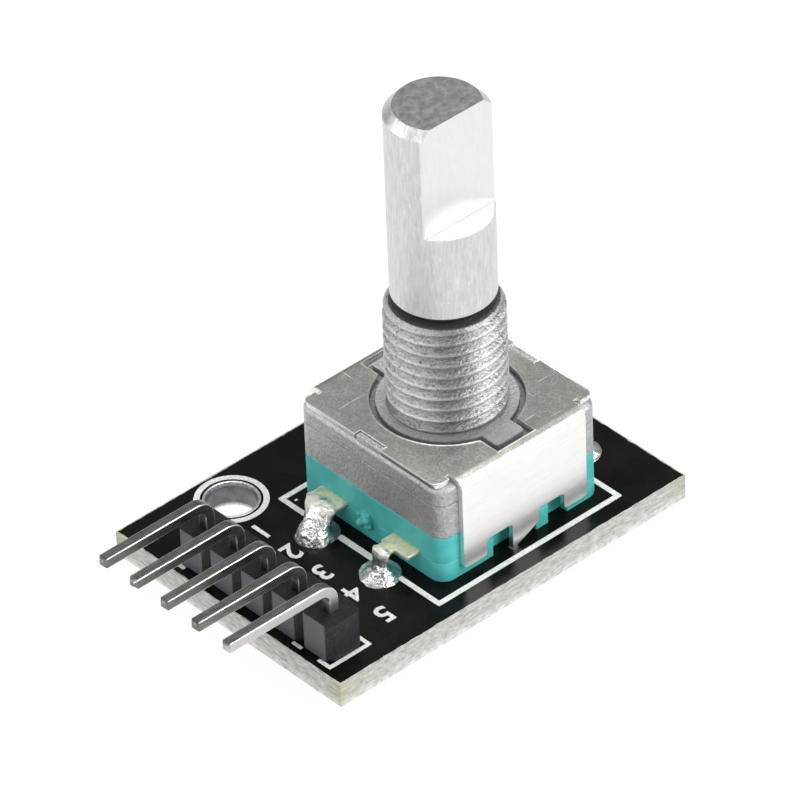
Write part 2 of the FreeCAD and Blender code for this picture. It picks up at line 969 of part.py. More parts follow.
def make_retaining_ring():
    body = part_body("retaining_ring")
    ring = sketch_on(body, "XY_Plane", clip_low)
    circle(ring, 0, 0, d.clip_radius)
    circle(ring, 0, 0, d.tail_radius - d.clip_groove + d.fit_gap)
    pad(body, ring, d.clip_thick)
    mouth = sketch_on(body, "XY_Plane", clip_low + d.clip_thick)
    rectangle(mouth, 0, d.clip_radius + OVER, -d.clip_mouth / 2, d.clip_mouth / 2)
    pocket(body, mouth, d.clip_thick)


def make_rotor():
    """Moulded rotor: a toothed detent face, a bearing hub and a double-D bore."""
    body = part_body("rotor")
    turned = sketch_on(body, "XZ_Plane")
    rim = d.rotor_radius
    hub = d.rotor_hub_radius
    well = d.rotor_well_radius
    well_level = -d.rotor_top - d.rotor_well_depth
    polygon(
        turned,
        [
            (0, -d.rotor_hub_bottom),
            (hub, -d.rotor_hub_bottom),
            (hub, -d.rotor_bottom),
            (rim, -d.rotor_bottom),
            (rim, -d.rotor_top),
            (well, -d.rotor_top),
            (well, well_level),
            (0, well_level),
        ],
    )
    revolve(body, turned)
    tooth = sketch_on(body, "YZ_Plane", 0)
    reach = rim * 2 * math.sin(math.pi / d.detent_count.value / 2) * 0.8
    polygon(
        tooth,
        [
            (-reach, -d.rotor_top + 0.1),
            (reach, -d.rotor_top + 0.1),
            (reach * 0.3, -d.rotor_top - d.detent_depth),
            (-reach * 0.3, -d.rotor_top - d.detent_depth),
        ],
    )
    gap = pocket(body, tooth, rim + OVER, reverse=True)
    polar(body, gap, DIMENSIONS["detent_count"])
    bore = sketch_on(body, "XY_Plane", well_level)
    inner = d.tail_radius + d.fit_gap
    flat = d.tail_flat + d.fit_gap
    chord = math.sqrt(inner.value**2 - flat.value**2)
    rectangle(bore, -chord, chord, -flat, flat)
    pocket(body, bore, d.rotor_hub_bottom)
    for side in (1, -1):
        lobe = sketch_on(body, "XY_Plane", well_level)
        steps = 6
        swing = math.atan2(flat.value, chord)
        arc = []
        for step in range(steps + 1):
            turn = swing - 2 * swing * step / steps
            arc.append((inner * math.cos(turn) * side, inner * math.sin(turn)))
        polygon(lobe, arc)
        pocket(body, lobe, d.rotor_hub_bottom)


def make_code_disc():
    """Conductive ring of the rotor with a window under every detent."""
    body = part_body("code_disc")
    level = -d.rotor_bottom - d.disc_thick
    ring = sketch_on(body, "XY_Plane", level)
    circle(ring, 0, 0, d.rotor_radius - d.disc_margin)
    circle(ring, 0, 0, d.disc_inner)
    pad(body, ring, d.disc_thick)
    window = sketch_on(body, "XY_Plane", level + d.disc_thick)
    rectangle(window, d.window_inner, d.window_outer, -d.window_half, d.window_half)
    gap = pocket(body, window, d.disc_thick)
    polar(body, gap, DIMENSIONS["detent_count"])


def make_detent_spring():
    """Leaf ring under the roof with two dimples that ride in the rotor's teeth."""
    body = part_body("detent_spring")
    low = -d.roof_depth - d.spring_thick
    ring = sketch_on(body, "XY_Plane", low)
    circle(ring, 0, 0, d.spring_outer)
    circle(ring, 0, 0, d.spring_inner)
    pad(body, ring, d.spring_thick)
    dimple = sketch_on(body, "XY_Plane", low)
    for side in (1, -1):
        rectangle(dimple, d.dimple_inner * side, d.dimple_outer * side, -d.dimple_half, d.dimple_half)
    pad(body, dimple, d.dimple_drop + d.spring_thick, reverse=True)


# ---------------------------------------------------------------- push switch


def make_switch_plunger():
    body = part_body("switch_plunger")
    low = switch_level + d.dome_height + 0.02
    turned = sketch_on(body, "XZ_Plane")
    polygon(
        turned,
        [
            (0, low),
            (d.plunger_radius, low),
            (d.plunger_radius, low + d.plunger_flange),
            (d.plunger_boss, low + d.plunger_flange),
            (d.plunger_boss, -d.tail_bottom - 0.02),
            (0, -d.tail_bottom - 0.02),
        ],
    )
    revolve(body, turned)


def make_switch_dome():
    """Snap dome: a shallow sheet cone with a flat crown."""
    body = part_body("switch_dome")
    turned = sketch_on(body, "XZ_Plane")
    low = switch_level
    high = switch_level + d.dome_height
    thick = d.dome_thick
    rim = d.dome_radius
    polygon(
        turned,
        [
            (0, high - thick),
            (rim * 0.35, high - thick),
            (rim * 0.8, low + d.dome_height * 0.32 - thick / 2),
            (rim - thick, low),
            (rim, low),
            (rim * 0.82, low + d.dome_height * 0.38 + thick / 2),
            (rim * 0.38, high),
            (0, high),
        ],
    )
    revolve(body, turned)


# ---------------------------------------------------------------- build, check and write

make_circuit_board()
make_hole_plating()
make_header_housing()
for pin_name, pin_row in header_pins.items():
    make_header_pin(pin_name, pin_row)
make_header_solder()
make_terminal_solder()
make_lug_solder()
make_resistors()
make_bushing_housing()
make_cover_plate()
make_encoder_base()
make_switch_base()
for contact_name, contact_row in contact_rows.items():
    make_contact(contact_name, contact_row)
for terminal_name, terminal_row in switch_rows.items():
    make_switch_terminal(terminal_name, terminal_row)
make_shaft()
make_retaining_ring()
make_rotor()
make_code_disc()
make_detent_spring()
make_switch_plunger()
make_switch_dome()
doc.recompute()

for item in doc.Objects:
    if "Invalid" in item.State or "Error" in item.State:
        raise RuntimeError(f"{item.Name} failed: {item.State}")
for part in parts:
    if part.Shape.isNull() or not part.Shape.isValid():
        raise RuntimeError(part.Label + " has no valid shape")

os.makedirs("parts", exist_ok=True)
for part in parts:
    part.Shape.exportStep(f"parts/{part.Label}.step")
    box = part.Shape.BoundBox
    extent = f"{box.XLength:.2f} x {box.YLength:.2f} x {box.ZLength:.2f}"
    print(f"{part.Label}: {extent}, {part.Shape.Volume:.2f} mm3")
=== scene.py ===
import json
import math
from contextlib import contextmanager

import bmesh
import bpy
from mathutils import Matrix, Vector

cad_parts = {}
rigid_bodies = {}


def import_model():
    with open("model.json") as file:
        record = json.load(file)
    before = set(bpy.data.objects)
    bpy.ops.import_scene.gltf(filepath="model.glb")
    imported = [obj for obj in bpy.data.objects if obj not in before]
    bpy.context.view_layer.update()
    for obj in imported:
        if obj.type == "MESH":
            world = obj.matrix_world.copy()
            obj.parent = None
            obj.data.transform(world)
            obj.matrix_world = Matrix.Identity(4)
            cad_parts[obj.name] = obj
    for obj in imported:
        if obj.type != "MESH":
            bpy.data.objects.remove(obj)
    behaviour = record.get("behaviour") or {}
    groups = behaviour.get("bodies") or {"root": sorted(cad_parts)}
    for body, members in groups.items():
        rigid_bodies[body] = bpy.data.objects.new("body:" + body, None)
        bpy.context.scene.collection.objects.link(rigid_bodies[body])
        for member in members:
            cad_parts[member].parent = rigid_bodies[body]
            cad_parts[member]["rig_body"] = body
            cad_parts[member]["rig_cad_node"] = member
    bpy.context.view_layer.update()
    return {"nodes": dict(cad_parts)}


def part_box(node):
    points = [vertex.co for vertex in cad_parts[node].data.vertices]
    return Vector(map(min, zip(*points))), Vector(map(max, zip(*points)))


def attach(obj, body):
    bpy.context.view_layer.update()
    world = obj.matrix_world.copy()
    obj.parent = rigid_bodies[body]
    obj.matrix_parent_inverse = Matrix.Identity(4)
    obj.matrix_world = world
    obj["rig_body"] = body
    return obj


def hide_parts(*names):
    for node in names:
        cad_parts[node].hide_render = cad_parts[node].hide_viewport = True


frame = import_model()

# Pieces are drawn in millimetres and brought to metres when they are delivered to their body.
MM = 0.001

# ---------------------------------------------------------------- shader maths


class Shade:
    """A socket that takes part in Python sums. Each sum on it adds one Math node."""

    def __init__(self, finish, socket):
        self.finish = finish
        self.socket = socket

    def maths(self, operation, first, second=0.0):
        return self.finish.maths(operation, first, second)

    def __add__(self, other):
        return self.maths("ADD", self, other)

    def __radd__(self, other):
        return self.maths("ADD", other, self)

    def __sub__(self, other):
        return self.maths("SUBTRACT", self, other)

    def __rsub__(self, other):
        return self.maths("SUBTRACT", other, self)

    def __mul__(self, other):
        return self.maths("MULTIPLY", self, other)

    def __rmul__(self, other):
        return self.maths("MULTIPLY", other, self)

    def __pow__(self, other):
        return self.maths("POWER", self, other)

    def __gt__(self, other):
        return self.maths("GREATER_THAN", self, other)

    def __lt__(self, other):
        return self.maths("LESS_THAN", self, other)

    def __abs__(self):
        return self.maths("ABSOLUTE", self)

    def least(self, other):
        return self.maths("MINIMUM", self, other)

    def most(self, other):
        return self.maths("MAXIMUM", self, other)

    def ramp(self, low, high):
        """0 at low, 1 at high, and clamped beyond."""
        return self.finish.node(
            "ShaderNodeMapRange",
            {"clamp": True},
            {"Value": self, "From Min": low, "From Max": high},
        )


class Finish:
    """One material: a Principled surface whose varying inputs are built from nodes."""

    def __init__(self, name, **constants):
        self.material = bpy.data.materials.new(name)
        self.material.use_nodes = True
        self.tree = self.material.node_tree
        self.surface = self.tree.nodes["Principled BSDF"]
        for label, value in constants.items():
            self.surface.inputs[label.replace("_", " ")].default_value = value
        coordinates = self.node("ShaderNodeTexCoord", output="Object")
        self.place = self.node(
            "ShaderNodeMapping", inputs={"Vector": coordinates, "Scale": (1 / MM, 1 / MM, 1 / MM)}
        )

    def node(self, kind, settings=None, inputs=None, output=0):
        """Any node: its settings first, then the values or links of its sockets."""
        item = self.tree.nodes.new(kind)
        for label, value in (settings or {}).items():
            setattr(item, label, value)
        for label, value in (inputs or {}).items():
            if isinstance(value, Shade):
                self.tree.links.new(value.socket, item.inputs[label])
            else:
                item.inputs[label].default_value = value
        return Shade(self, item.outputs[output])

    def maths(self, operation, first, second=0.0):
        return self.node("ShaderNodeMath", {"operation": operation}, {0: first, 1: second})

    def axes(self):
        """Place along X, Y and Z in millimetres."""
        split = self.node("ShaderNodeSeparateXYZ", inputs={0: self.place})
        outputs = split.socket.node.outputs
        return Shade(self, outputs[0]), Shade(self, outputs[1]), Shade(self, outputs[2])

    def radius(self, x, y):
        """Distance from the shaft's axis."""
        return (x * x + y * y) ** 0.5

    def facing(self, axis=2):
        """The part of the surface normal along one axis: by default 1 on top and 0 on a wall."""
        normal = self.node("ShaderNodeNewGeometry", output="True Normal")
        split = self.node("ShaderNodeSeparateXYZ", inputs={0: normal})
        return Shade(self, split.socket.node.outputs[axis])

    def noise(self, scale, detail=3.0, stretch=(1, 1, 1), turn=0.0, distortion=0.0):
        spread = self.node(
            "ShaderNodeMapping",
            inputs={"Vector": self.place, "Scale": stretch, "Rotation": (0, 0, math.radians(turn))},
        )
        return self.node(
            "ShaderNodeTexNoise",
            inputs={"Vector": spread, "Scale": scale, "Detail": detail, "Distortion": distortion},
        )

    def cells(self, scale):
        return self.node("ShaderNodeTexVoronoi", inputs={"Vector": self.place, "Scale": scale})

    def mix(self, factor, first, second):
        """Colours, mixed by a factor."""
        return self.node(
            "ShaderNodeMix",
            {"data_type": "RGBA"},
            {0: factor, 6: colour(first), 7: colour(second)},
            output=2,
        )

    def bump(self, height, strength, distance):
        """Relief on the surface; the distance is in millimetres."""
        relief = self.node(
            "ShaderNodeBump",
            inputs={"Strength": strength, "Distance": distance * MM, "Height": height},
        )
        self.drive("Normal", relief)

    def drive(self, label, shade):
        self.tree.links.new(shade.socket, self.surface.inputs[label])


def colour(value):
    return value if isinstance(value, Shade) else (*value, 1.0)


# ---------------------------------------------------------------- places and sizes in millimetres

BOARD_LOW, BOARD_HIGH = (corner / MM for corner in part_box("circuit_board"))
BOARD_TOP = BOARD_HIGH.z
BOARD_BOTTOM = BOARD_LOW.z
CAST_LOW, CAST_HIGH = (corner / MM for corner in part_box("bushing_housing"))
BUSHING_TOP = CAST_HIGH.z
SHAFT_LOW, SHAFT_HIGH = (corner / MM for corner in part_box("shaft"))

HEADER_X = -13.65
BLOCK_TOP = -0.35
PARTING = -1.45

SHAFT_RADIUS = 3.0
END_RADIUS = 2.48
SHOULDER = 7.55
FLAT_DEPTH = 1.5
FLAT_FOOT = 13.0

WELD = 1e-4
HAIR = 0.003

# ---------------------------------------------------------------- finishes


def board_finish():
    """Gloss black mask on both faces, and pale sawn fibreglass round the edge."""
    f = Finish("solder_mask_and_laminate", Specular_IOR_Level=0.14)
    x, y, z = f.axes()
    ragged = f.noise(1.6, 6) * 0.16 - 0.08
    along = (x - BOARD_LOW.x).least(BOARD_HIGH.x - x)
    across = (y - BOARD_LOW.y).least(BOARD_HIGH.y - y)
    inward = along.least(across) + ragged
    masked = (inward > 0.09) * (abs(f.facing()) > 0.6)
    fibre = f.noise(3.2, 8, (0.5, 0.5, 1.8)).ramp(0.32, 0.66)
    weave = f.noise(11, 4).ramp(0.35, 0.75)
    laminate = f.mix(fibre, (0.27, 0.265, 0.24), (0.56, 0.55, 0.52))
    laminate = f.mix(weave * 0.45, laminate, (0.68, 0.68, 0.65))
    corner = along.most(across).ramp(1.6, 0.3)
    laminate = f.mix(corner * 0.35, laminate, (0.42, 0.41, 0.20))
    lower = z.ramp(BOARD_BOTTOM + 0.65, BOARD_BOTTOM + 0.1) * f.noise(2.5, 5).ramp(0.3, 0.6)
    laminate = f.mix(lower * 0.6, laminate, (0.84, 0.84, 0.83))
    haze = f.noise(0.5, 4).ramp(0.35, 0.75)
    mask = f.mix(haze, (0.0028, 0.0028, 0.0024), (0.0065, 0.0062, 0.0052))
    dust = f.noise(26, 2).ramp(0.735, 0.76)
    mask = f.mix(dust * 0.35, mask, (0.30, 0.30, 0.28))
    f.drive("Base Color", f.mix(masked, laminate, mask))
    f.drive("Roughness", 0.85 - masked * (0.62 - haze * 0.10))
    height = masked * (f.noise(1.4, 2) * 0.10 + 1.0) + (1 - masked) * f.noise(7, 6, (0.5, 0.5, 2))
    f.bump(height, 0.55, 0.05)
    return f.material


def ink_finish():
    f = Finish("white_ink", Specular_IOR_Level=0.3)
    wear = f.noise(9, 5).ramp(0.38, 0.66)
    f.drive("Base Color", f.mix(wear, (0.62, 0.64, 0.60), (0.88, 0.90, 0.86)))
    f.drive("Roughness", 0.62 - wear * 0.15)
    f.bump(f.noise(14, 4), 0.4, 0.02)
    return f.material


def track_finish():
    """Mask over raised copper, a little greyer than over bare laminate."""
    f = Finish("masked_copper", Specular_IOR_Level=0.4, Roughness=0.22)
    f.drive("Base Color", f.mix(f.noise(1.2, 4), (0.007, 0.007, 0.006), (0.020, 0.019, 0.017)))
    f.bump(f.noise(3, 3), 0.2, 0.02)
    return f.material


def plating_finish():
    f = Finish("tinned_plating", Metallic=1.0)
    _, _, z = f.axes()
    grain = f.noise(7, 5, (1, 1, 0.5))
    # Painted shade: the tin is darkened towards the middle of the hole's wall, deep in the bore.
    depth = (BOARD_TOP - z).least(z - BOARD_BOTTOM).ramp(0.02, 0.25)
    tone = f.mix(grain.ramp(0.3, 0.7), (0.62, 0.62, 0.63), (0.86, 0.86, 0.86))
    shade_tone = f.mix(f.noise(1.4, 4).ramp(0.35, 0.7), (0.035, 0.035, 0.037), (0.12, 0.118, 0.12))
    f.drive("Base Color", f.mix(depth * 0.85, tone, shade_tone))
    f.drive("Roughness", 0.20 + grain * 0.22)
    f.bump(f.noise(5, 5), 0.5, 0.05)
    return f.material


def solder_finish():
    """Bright solder with dark pits and painted dark reflections, creamed by flux where it climbs
    the wide strips.
    """
    f = Finish("bright_solder")
    x, _, z = f.axes()
    patch = f.noise(1.3, 4).ramp(0.40, 0.62)
    pit = f.cells(3.6).ramp(0.20, 0.08) * f.noise(1.3, 3).ramp(0.46, 0.60)
    grain = f.noise(6, 4).ramp(0.34, 0.66)
    # Painted reflection: dark patches stand in for dark surroundings mirrored in the solder.
    dark = f.noise(2.4, 4).ramp(0.55, 0.63)
    bright = f.mix(patch * 0.6 + grain * 0.4, (0.68, 0.68, 0.67), (0.98, 0.98, 0.97))
    bright = f.mix(dark * 0.6, bright, (0.30, 0.295, 0.29))
    flux = z.ramp(-5.60, -5.30) * (x < -6.0) * f.noise(2.2, 4).ramp(0.35, 0.55)
    bright = f.mix(flux * 0.8, bright, (0.84, 0.81, 0.68))
    f.drive("Base Color", f.mix(pit * 0.85, bright, (0.05, 0.047, 0.042)))
    f.drive("Metallic", 1.0 - flux * 0.65)
    f.drive("Roughness", 0.27 - patch * 0.10 + grain * 0.08 + flux * 0.25)
    f.bump(f.noise(1.9, 4, distortion=0.6) + grain * 0.12 - pit * 0.4, 0.70, 0.12)
    return f.material


def pin_finish():
    """Drawn square wire under dull tin, lined along its run; the last pin's walls carry a painted
    highlight.
    """
    f = Finish("drawn_tin", Metallic=1.0)
    _, y, _ = f.axes()
    line = f.noise(14, 4, (0.10, 1, 1))
    blotch = f.noise(1.1, 4).ramp(0.35, 0.7)
    wall = 1 - abs(f.facing()).ramp(0.2, 0.7)
    body = f.mix(line.ramp(0.3, 0.7), (0.105, 0.099, 0.090), (0.25, 0.24, 0.225))
    body = f.mix(blotch * 0.4, body, (0.36, 0.345, 0.33))
    # Painted highlight: the walls of the last pin, towards -Y, are lightened.
    f.drive("Base Color", f.mix(y.ramp(-4.7, -5.6) * wall * 0.75, body, (0.74, 0.71, 0.70)))
    f.drive("Roughness", 0.24 + line * 0.20)
    f.bump(line + f.noise(6, 4) * 0.5, 0.35, 0.03)
    return f.material


def housing_finish():
    """Black nylon: painted shade near black on top, dusty elsewhere, with a painted grey highlight
    on its -X faces.
    """
    f = Finish("black_nylon", Specular_IOR_Level=0.32)
    # Painted shade darkens the top faces; a painted highlight lightens the faces towards -X.
    level = f.facing().ramp(0.4, 0.8)
    painted_sheen = f.facing(0).ramp(-0.85, -0.97)
    dust = f.noise(9, 6).ramp(0.50, 0.72)
    speck = f.noise(15, 3).ramp(0.62, 0.70)
    tone = f.mix(dust * 0.5, (0.012, 0.012, 0.014), (0.055, 0.055, 0.060))
    tone = f.mix(level * 0.8, tone, (0.004, 0.004, 0.004))
    tone = f.mix(painted_sheen * 0.75, tone, (0.125, 0.126, 0.140))
    f.drive("Base Color", f.mix(speck * 0.35, tone, (0.20, 0.20, 0.20)))
    f.drive("Roughness", 0.40 + f.noise(3, 4) * 0.22 + level * 0.15)
    f.bump(f.noise(8, 5) + speck * 0.3, 0.5, 0.035)
    return f.material


def casting_finish():
    """Raw die-cast zinc: open grain, a parting line, painted shade darker and bluer towards -Y, and
    painted shade round the boss.
    """
    f = Finish("die_cast_zinc", Metallic=0.88)
    x, y, z = f.axes()
    grain = f.noise(7.5, 7).ramp(0.30, 0.72)
    fleck = f.noise(17, 3).ramp(0.60, 0.70)
    flow = f.noise(0.9, 5, (1, 1, 2.2)).ramp(0.35, 0.68)
    # Painted shade, tinted blue, growing towards -Y.
    front = y.ramp(3.0, -6.5)
    tone = f.mix(grain, (0.34, 0.34, 0.343), (0.76, 0.76, 0.755))
    tone = f.mix(flow * 0.55, tone, (0.72, 0.72, 0.712))
    tone = f.mix(front * 0.35, tone, (0.32, 0.325, 0.355))
    tone = f.mix(fleck * 0.60, tone, (0.86, 0.86, 0.85))
    radius = f.radius(x, y)
    # Painted shade in the groove between the boss and the cover's opening.
    gap_shade = (z > -0.50) * (z < -0.07) * (radius < 5.45)
    tone = f.mix(gap_shade * 0.5, tone, (0.07, 0.07, 0.07))
    below = z < -0.4
    wander = z - PARTING + (f.noise(0.7, 2) - 0.5) * 0.12
    line = abs(wander).ramp(0.045, 0.015) * below
    f.drive("Base Color", f.mix(line * 0.55, tone, (0.13, 0.13, 0.13)))
    f.drive("Roughness", 0.42 + f.noise(2.2, 4) * 0.22)
    f.bump(f.noise(4.0, 9) + f.noise(14, 3) * 0.5 - line * 0.5, 0.75, 0.08)
    return f.material


def thread_finish():
    """The cast thread: painted shade in its roots against bright crests, pits, a painted band of
    shade down one side, and painted shade at its top and foot.
    """
    f = Finish("cast_thread", Metallic=0.92)
    x, y, z = f.axes()
    radius = f.radius(x, y)
    # Painted shade: the thread's roots are darker than its crests.
    crest = radius.ramp(3.05, 3.42)
    grain = f.noise(8, 7).ramp(0.32, 0.70)
    fleck = f.noise(15, 3).ramp(0.56, 0.68)
    pit = f.noise(3.4, 4, (1, 1, 2.5)).ramp(0.58, 0.68)
    tone = f.mix(crest * 0.8, (0.28, 0.28, 0.285), (0.70, 0.70, 0.69))
    tone = f.mix(grain * 0.45, tone, (0.70, 0.70, 0.69))
    tone = f.mix(pit * 0.75, tone, (0.15, 0.15, 0.16))
    tone = f.mix(fleck * 0.6, tone, (0.90, 0.90, 0.89))
    # Painted shade: a dark band down one side of the thread, at a fixed bearing.
    bearing = f.maths("ARCTAN2", y, x) + 2.18
    shade_band = abs(bearing + (f.noise(0.9, 3) - 0.5) * 0.5).ramp(0.62, 0.12)
    tone = f.mix(shade_band * 0.62, tone, (0.125, 0.128, 0.14))
    # Painted shade: the flat top of the bushing under the shaft, and the thread's foot by the
    # casting.
    mouth_shade = (z > BUSHING_TOP - 0.015) * radius.ramp(3.16, 3.08)
    foot = z.ramp(0.55, 0.0)
    f.drive("Base Color", f.mix(mouth_shade.most(foot * 0.8), tone, (0.13, 0.13, 0.13)))
    f.drive("Roughness", 0.34 + f.noise(3, 4) * 0.24)
    f.bump(f.noise(6, 8) + f.noise(2.2, 4) * 0.8, 0.75, 0.10)
    return f.material


def cover_finish():
    """Rolled nickel-plated sheet: rolling lines, specks and scratches, with painted shade on its
    top and towards two opposite corners.
    """
    f = Finish("plated_sheet", Metallic=1.0)
    x, y, _ = f.axes()
    roll = f.noise(6, 5, (0.12, 1, 1), 28)
    speck = f.noise(15, 3).ramp(0.63, 0.70)
    dark = f.noise(12, 3, (1, 1, 1), 60).ramp(0.66, 0.73)
    scratch = f.noise(2.2, 2, (0.10, 2.4, 1), 52).ramp(0.705, 0.725)
    cross = f.noise(2.0, 2, (2.2, 0.12, 1), 20).ramp(0.712, 0.732)
    tone = f.mix(roll.ramp(0.25, 0.75), (0.89, 0.88, 0.86), (0.97, 0.965, 0.95))
    tone = f.mix(f.noise(0.45, 4).ramp(0.35, 0.7) * 0.4, tone, (0.88, 0.87, 0.85))
    # Painted shade: the top of the sheet is darker than its sides.
    top = f.facing().ramp(0.5, 0.9)
    mottle = f.noise(1.5, 6).ramp(0.34, 0.66)
    shade_tone = f.mix(mottle, (0.56, 0.535, 0.48), (0.80, 0.785, 0.74))
    tone = f.mix(top * 0.85, tone, shade_tone)
    fine = f.noise(6.5, 6).ramp(0.42, 0.60)
    tone = f.mix(top * fine * 0.60, tone, (0.40, 0.39, 0.36))
    # Painted shade towards two opposite corners of the top.
    corner_shade = abs(x - y).ramp(2.0, 6.5) * top
    tone = f.mix(corner_shade * 0.52, tone, (0.16, 0.157, 0.146))
    tone = f.mix(dark * top * 0.6, tone, (0.24, 0.23, 0.21))
    tone = f.mix(speck.most(scratch).most(cross) * 0.70, tone, (0.98, 0.97, 0.95))
    f.drive("Base Color", tone)
    f.drive("Roughness", 0.24 + f.noise(2.4, 5) * 0.14 + top * 0.18)
    f.bump(f.noise(4, 6) * 0.7 - scratch * 0.5 - cross * 0.5 + speck * 0.2, 0.28, 0.04)
    return f.material


def burnished_finish():
    """Bright metal, for the cut edges of the sheet and the corners of the pins: a painted edge
    highlight.
    """
    f = Finish("painted_edge_highlight", Metallic=1.0)
    shine = f.noise(5, 5).ramp(0.3, 0.65)
    f.drive("Base Color", f.mix(shine, (0.72, 0.715, 0.70), (0.98, 0.975, 0.965)))
    f.drive("Roughness", 0.24 + f.noise(8, 4) * 0.24)
    f.bump(f.noise(7, 5), 0.35, 0.03)
    return f.material


def turquoise_finish():
    """Moulded turquoise plastic with faint clouding and tiny dark pits."""
    f = Finish("turquoise_moulding", Specular_IOR_Level=0.42)
    cloud = f.noise(0.8, 5).ramp(0.3, 0.7)
    pit = f.noise(11, 3).ramp(0.695, 0.73)
    tone = f.mix(cloud, (0.062, 0.440, 0.430), (0.095, 0.530, 0.520))
    f.drive("Base Color", f.mix(pit * 0.6, tone, (0.012, 0.16, 0.16)))
    f.drive("Roughness", 0.38 + f.noise(5, 4) * 0.18)
    f.bump(f.noise(3.5, 5) - pit * 0.5, 0.22, 0.05)
    return f.material


def strip_finish():
    """Silver-plated strip, stained cream and yellow by flux on its upper side."""
    f = Finish("flux_stained_strip")
    x, _, z = f.axes()
    upper = z.ramp(-5.5, -5.25) * x.ramp(-5.0, -6.2)
    stain = f.noise(1.7, 5).ramp(0.26, 0.48)
    silver = f.mix(f.noise(5, 5), (0.55, 0.54, 0.51), (0.86, 0.85, 0.82))
    cream = f.mix(f.noise(3.5, 5).ramp(0.42, 0.6), (0.80, 0.72, 0.40), (0.90, 0.875, 0.72))
    f.drive("Base Color", f.mix(upper * stain, silver, cream))
    f.drive("Metallic", 0.90 - upper * stain * 0.65)
    f.drive("Roughness", 0.26 + f.noise(4, 4) * 0.25)
    f.bump(f.noise(4.5, 6), 0.5, 0.06)
    return f.material


def contact_finish():
    f = Finish("silver_plated_bronze", Metallic=1.0)
    tarnish = f.noise(2.2, 5).ramp(0.35, 0.7)
    f.drive("Base Color", f.mix(tarnish, (0.80, 0.77, 0.68), (0.58, 0.52, 0.40)))
    f.drive("Roughness", 0.25 + tarnish * 0.2)
    f.bump(f.noise(9, 4, (1, 0.2, 1)), 0.3, 0.02)
    return f.material


def shaft_finish():
    """Satin turned aluminium: lines along the shaft, a painted highlight on the flat, painted shade
    on the neck and the flat's step, and a dark, speckled end.
    """
    f = Finish("satin_aluminium", Metallic=1.0)
    x, y, z = f.axes()
    radius = f.radius(x, y)
    line = f.noise(6.5, 6, (1, 1, 0.16))
    fine = f.noise(13, 3, (1, 1, 0.30))
    fleck = f.noise(9, 3, (1, 1, 0.3)).ramp(0.62, 0.72)
    body = f.mix(line.ramp(0.28, 0.72), (0.56, 0.56, 0.56), (0.76, 0.76, 0.76))
    body = f.mix(fine.ramp(0.35, 0.7) * 0.35, body, (0.62, 0.62, 0.62))
    body = f.mix(fleck * 0.5, body, (0.95, 0.95, 0.95))
    end = (z > SHAFT_HIGH.z - 0.02) * (radius < END_RADIUS + 0.02)
    mark = f.noise(2.2, 6, distortion=0.5).ramp(0.32, 0.70)
    face = f.mix(mark, (0.25, 0.243, 0.234), (0.44, 0.43, 0.417))
    # Painted shade: the neck under the shoulder, down into the bushing.
    groove = (z < SHOULDER - 0.02) * (z > 5.0)
    # Painted highlight: the flat is lightened.
    flat = (y < 0.08 - FLAT_DEPTH) * (z > FLAT_FOOT - 0.05) * (1 - end)
    tone = f.mix(flat * 0.7, f.mix(end, body, face), (0.86, 0.855, 0.86))
    # Painted shade on the upward step at the flat's foot.
    ledge_shade = f.facing().ramp(0.5, 0.9) * (z < FLAT_FOOT + 0.2)
    tone = f.mix(ledge_shade * 0.8, tone, (0.42, 0.42, 0.41))
    f.drive("Base Color", f.mix(groove * 0.75, tone, (0.10, 0.10, 0.10)))
    f.drive("Roughness", 0.30 + line * 0.16 + end * 0.14)
    f.bump(line * 0.8 + fine * 0.5 + end * f.noise(5, 5) * 0.8, 0.30, 0.035)
    return f.material


def spring_finish():
    f = Finish("spring_steel", Metallic=1.0)
    f.drive("Base Color", f.mix(f.noise(3, 5), (0.36, 0.36, 0.37), (0.62, 0.62, 0.62)))
    f.drive("Roughness", 0.22 + f.noise(7, 4, (0.2, 1, 1)) * 0.2)
    f.bump(f.noise(10, 3, (0.2, 1, 1)), 0.25, 0.02)
    return f.material


def plastic_finish(name, dark, light):
    f = Finish(name, Specular_IOR_Level=0.45)
    f.drive("Base Color", f.mix(f.noise(1.3, 5).ramp(0.3, 0.7), dark, light))
    f.drive("Roughness", 0.40 + f.noise(6, 4) * 0.15)
    f.bump(f.noise(5, 5), 0.25, 0.03)
    return f.material


def ceramic_finish():
    f = Finish("glazed_ceramic", Specular_IOR_Level=0.5)
    f.drive("Base Color", f.mix(f.noise(4, 4), (0.008, 0.008, 0.009), (0.028, 0.028, 0.030)))
    f.drive("Roughness", 0.22 + f.noise(8, 4) * 0.2)
    f.bump(f.noise(7, 4), 0.3, 0.02)
    return f.material


BOARD = board_finish()
INK = ink_finish()
TRACK = track_finish()
PLATING = plating_finish()
SOLDER = solder_finish()
PIN = pin_finish()
HOUSING = housing_finish()
CASTING = casting_finish()
THREAD = thread_finish()
SHEET = cover_finish()
EDGE_HIGHLIGHT = burnished_finish()
TURQUOISE = turquoise_finish()
STRIP = strip_finish()
CONTACT = contact_finish()
ALUMINIUM = shaft_finish()
SPRING = spring_finish()
ACETAL = plastic_finish("natural_acetal", (0.62, 0.60, 0.54), (0.80, 0.79, 0.74))
NYLON = plastic_finish("black_plunger", (0.030, 0.030, 0.030), (0.075, 0.075, 0.075))
CERAMIC = ceramic_finish()

# ---------------------------------------------------------------- modelling helpers


def only(piece):
    """Make one piece the selection and the active object."""
    bpy.ops.object.select_all(action="DESELECT")
    piece.select_set(True)
    bpy.context.view_layer.objects.active = piece


@contextmanager
def editing(piece):
    only(piece)
    bpy.ops.object.mode_set(mode="EDIT")
    yield
    bpy.ops.object.mode_set(mode="OBJECT")


def settle():
    """Put the new object's place, turn and size into its mesh."""
    bpy.ops.object.transform_apply(location=True, rotation=True, scale=True)


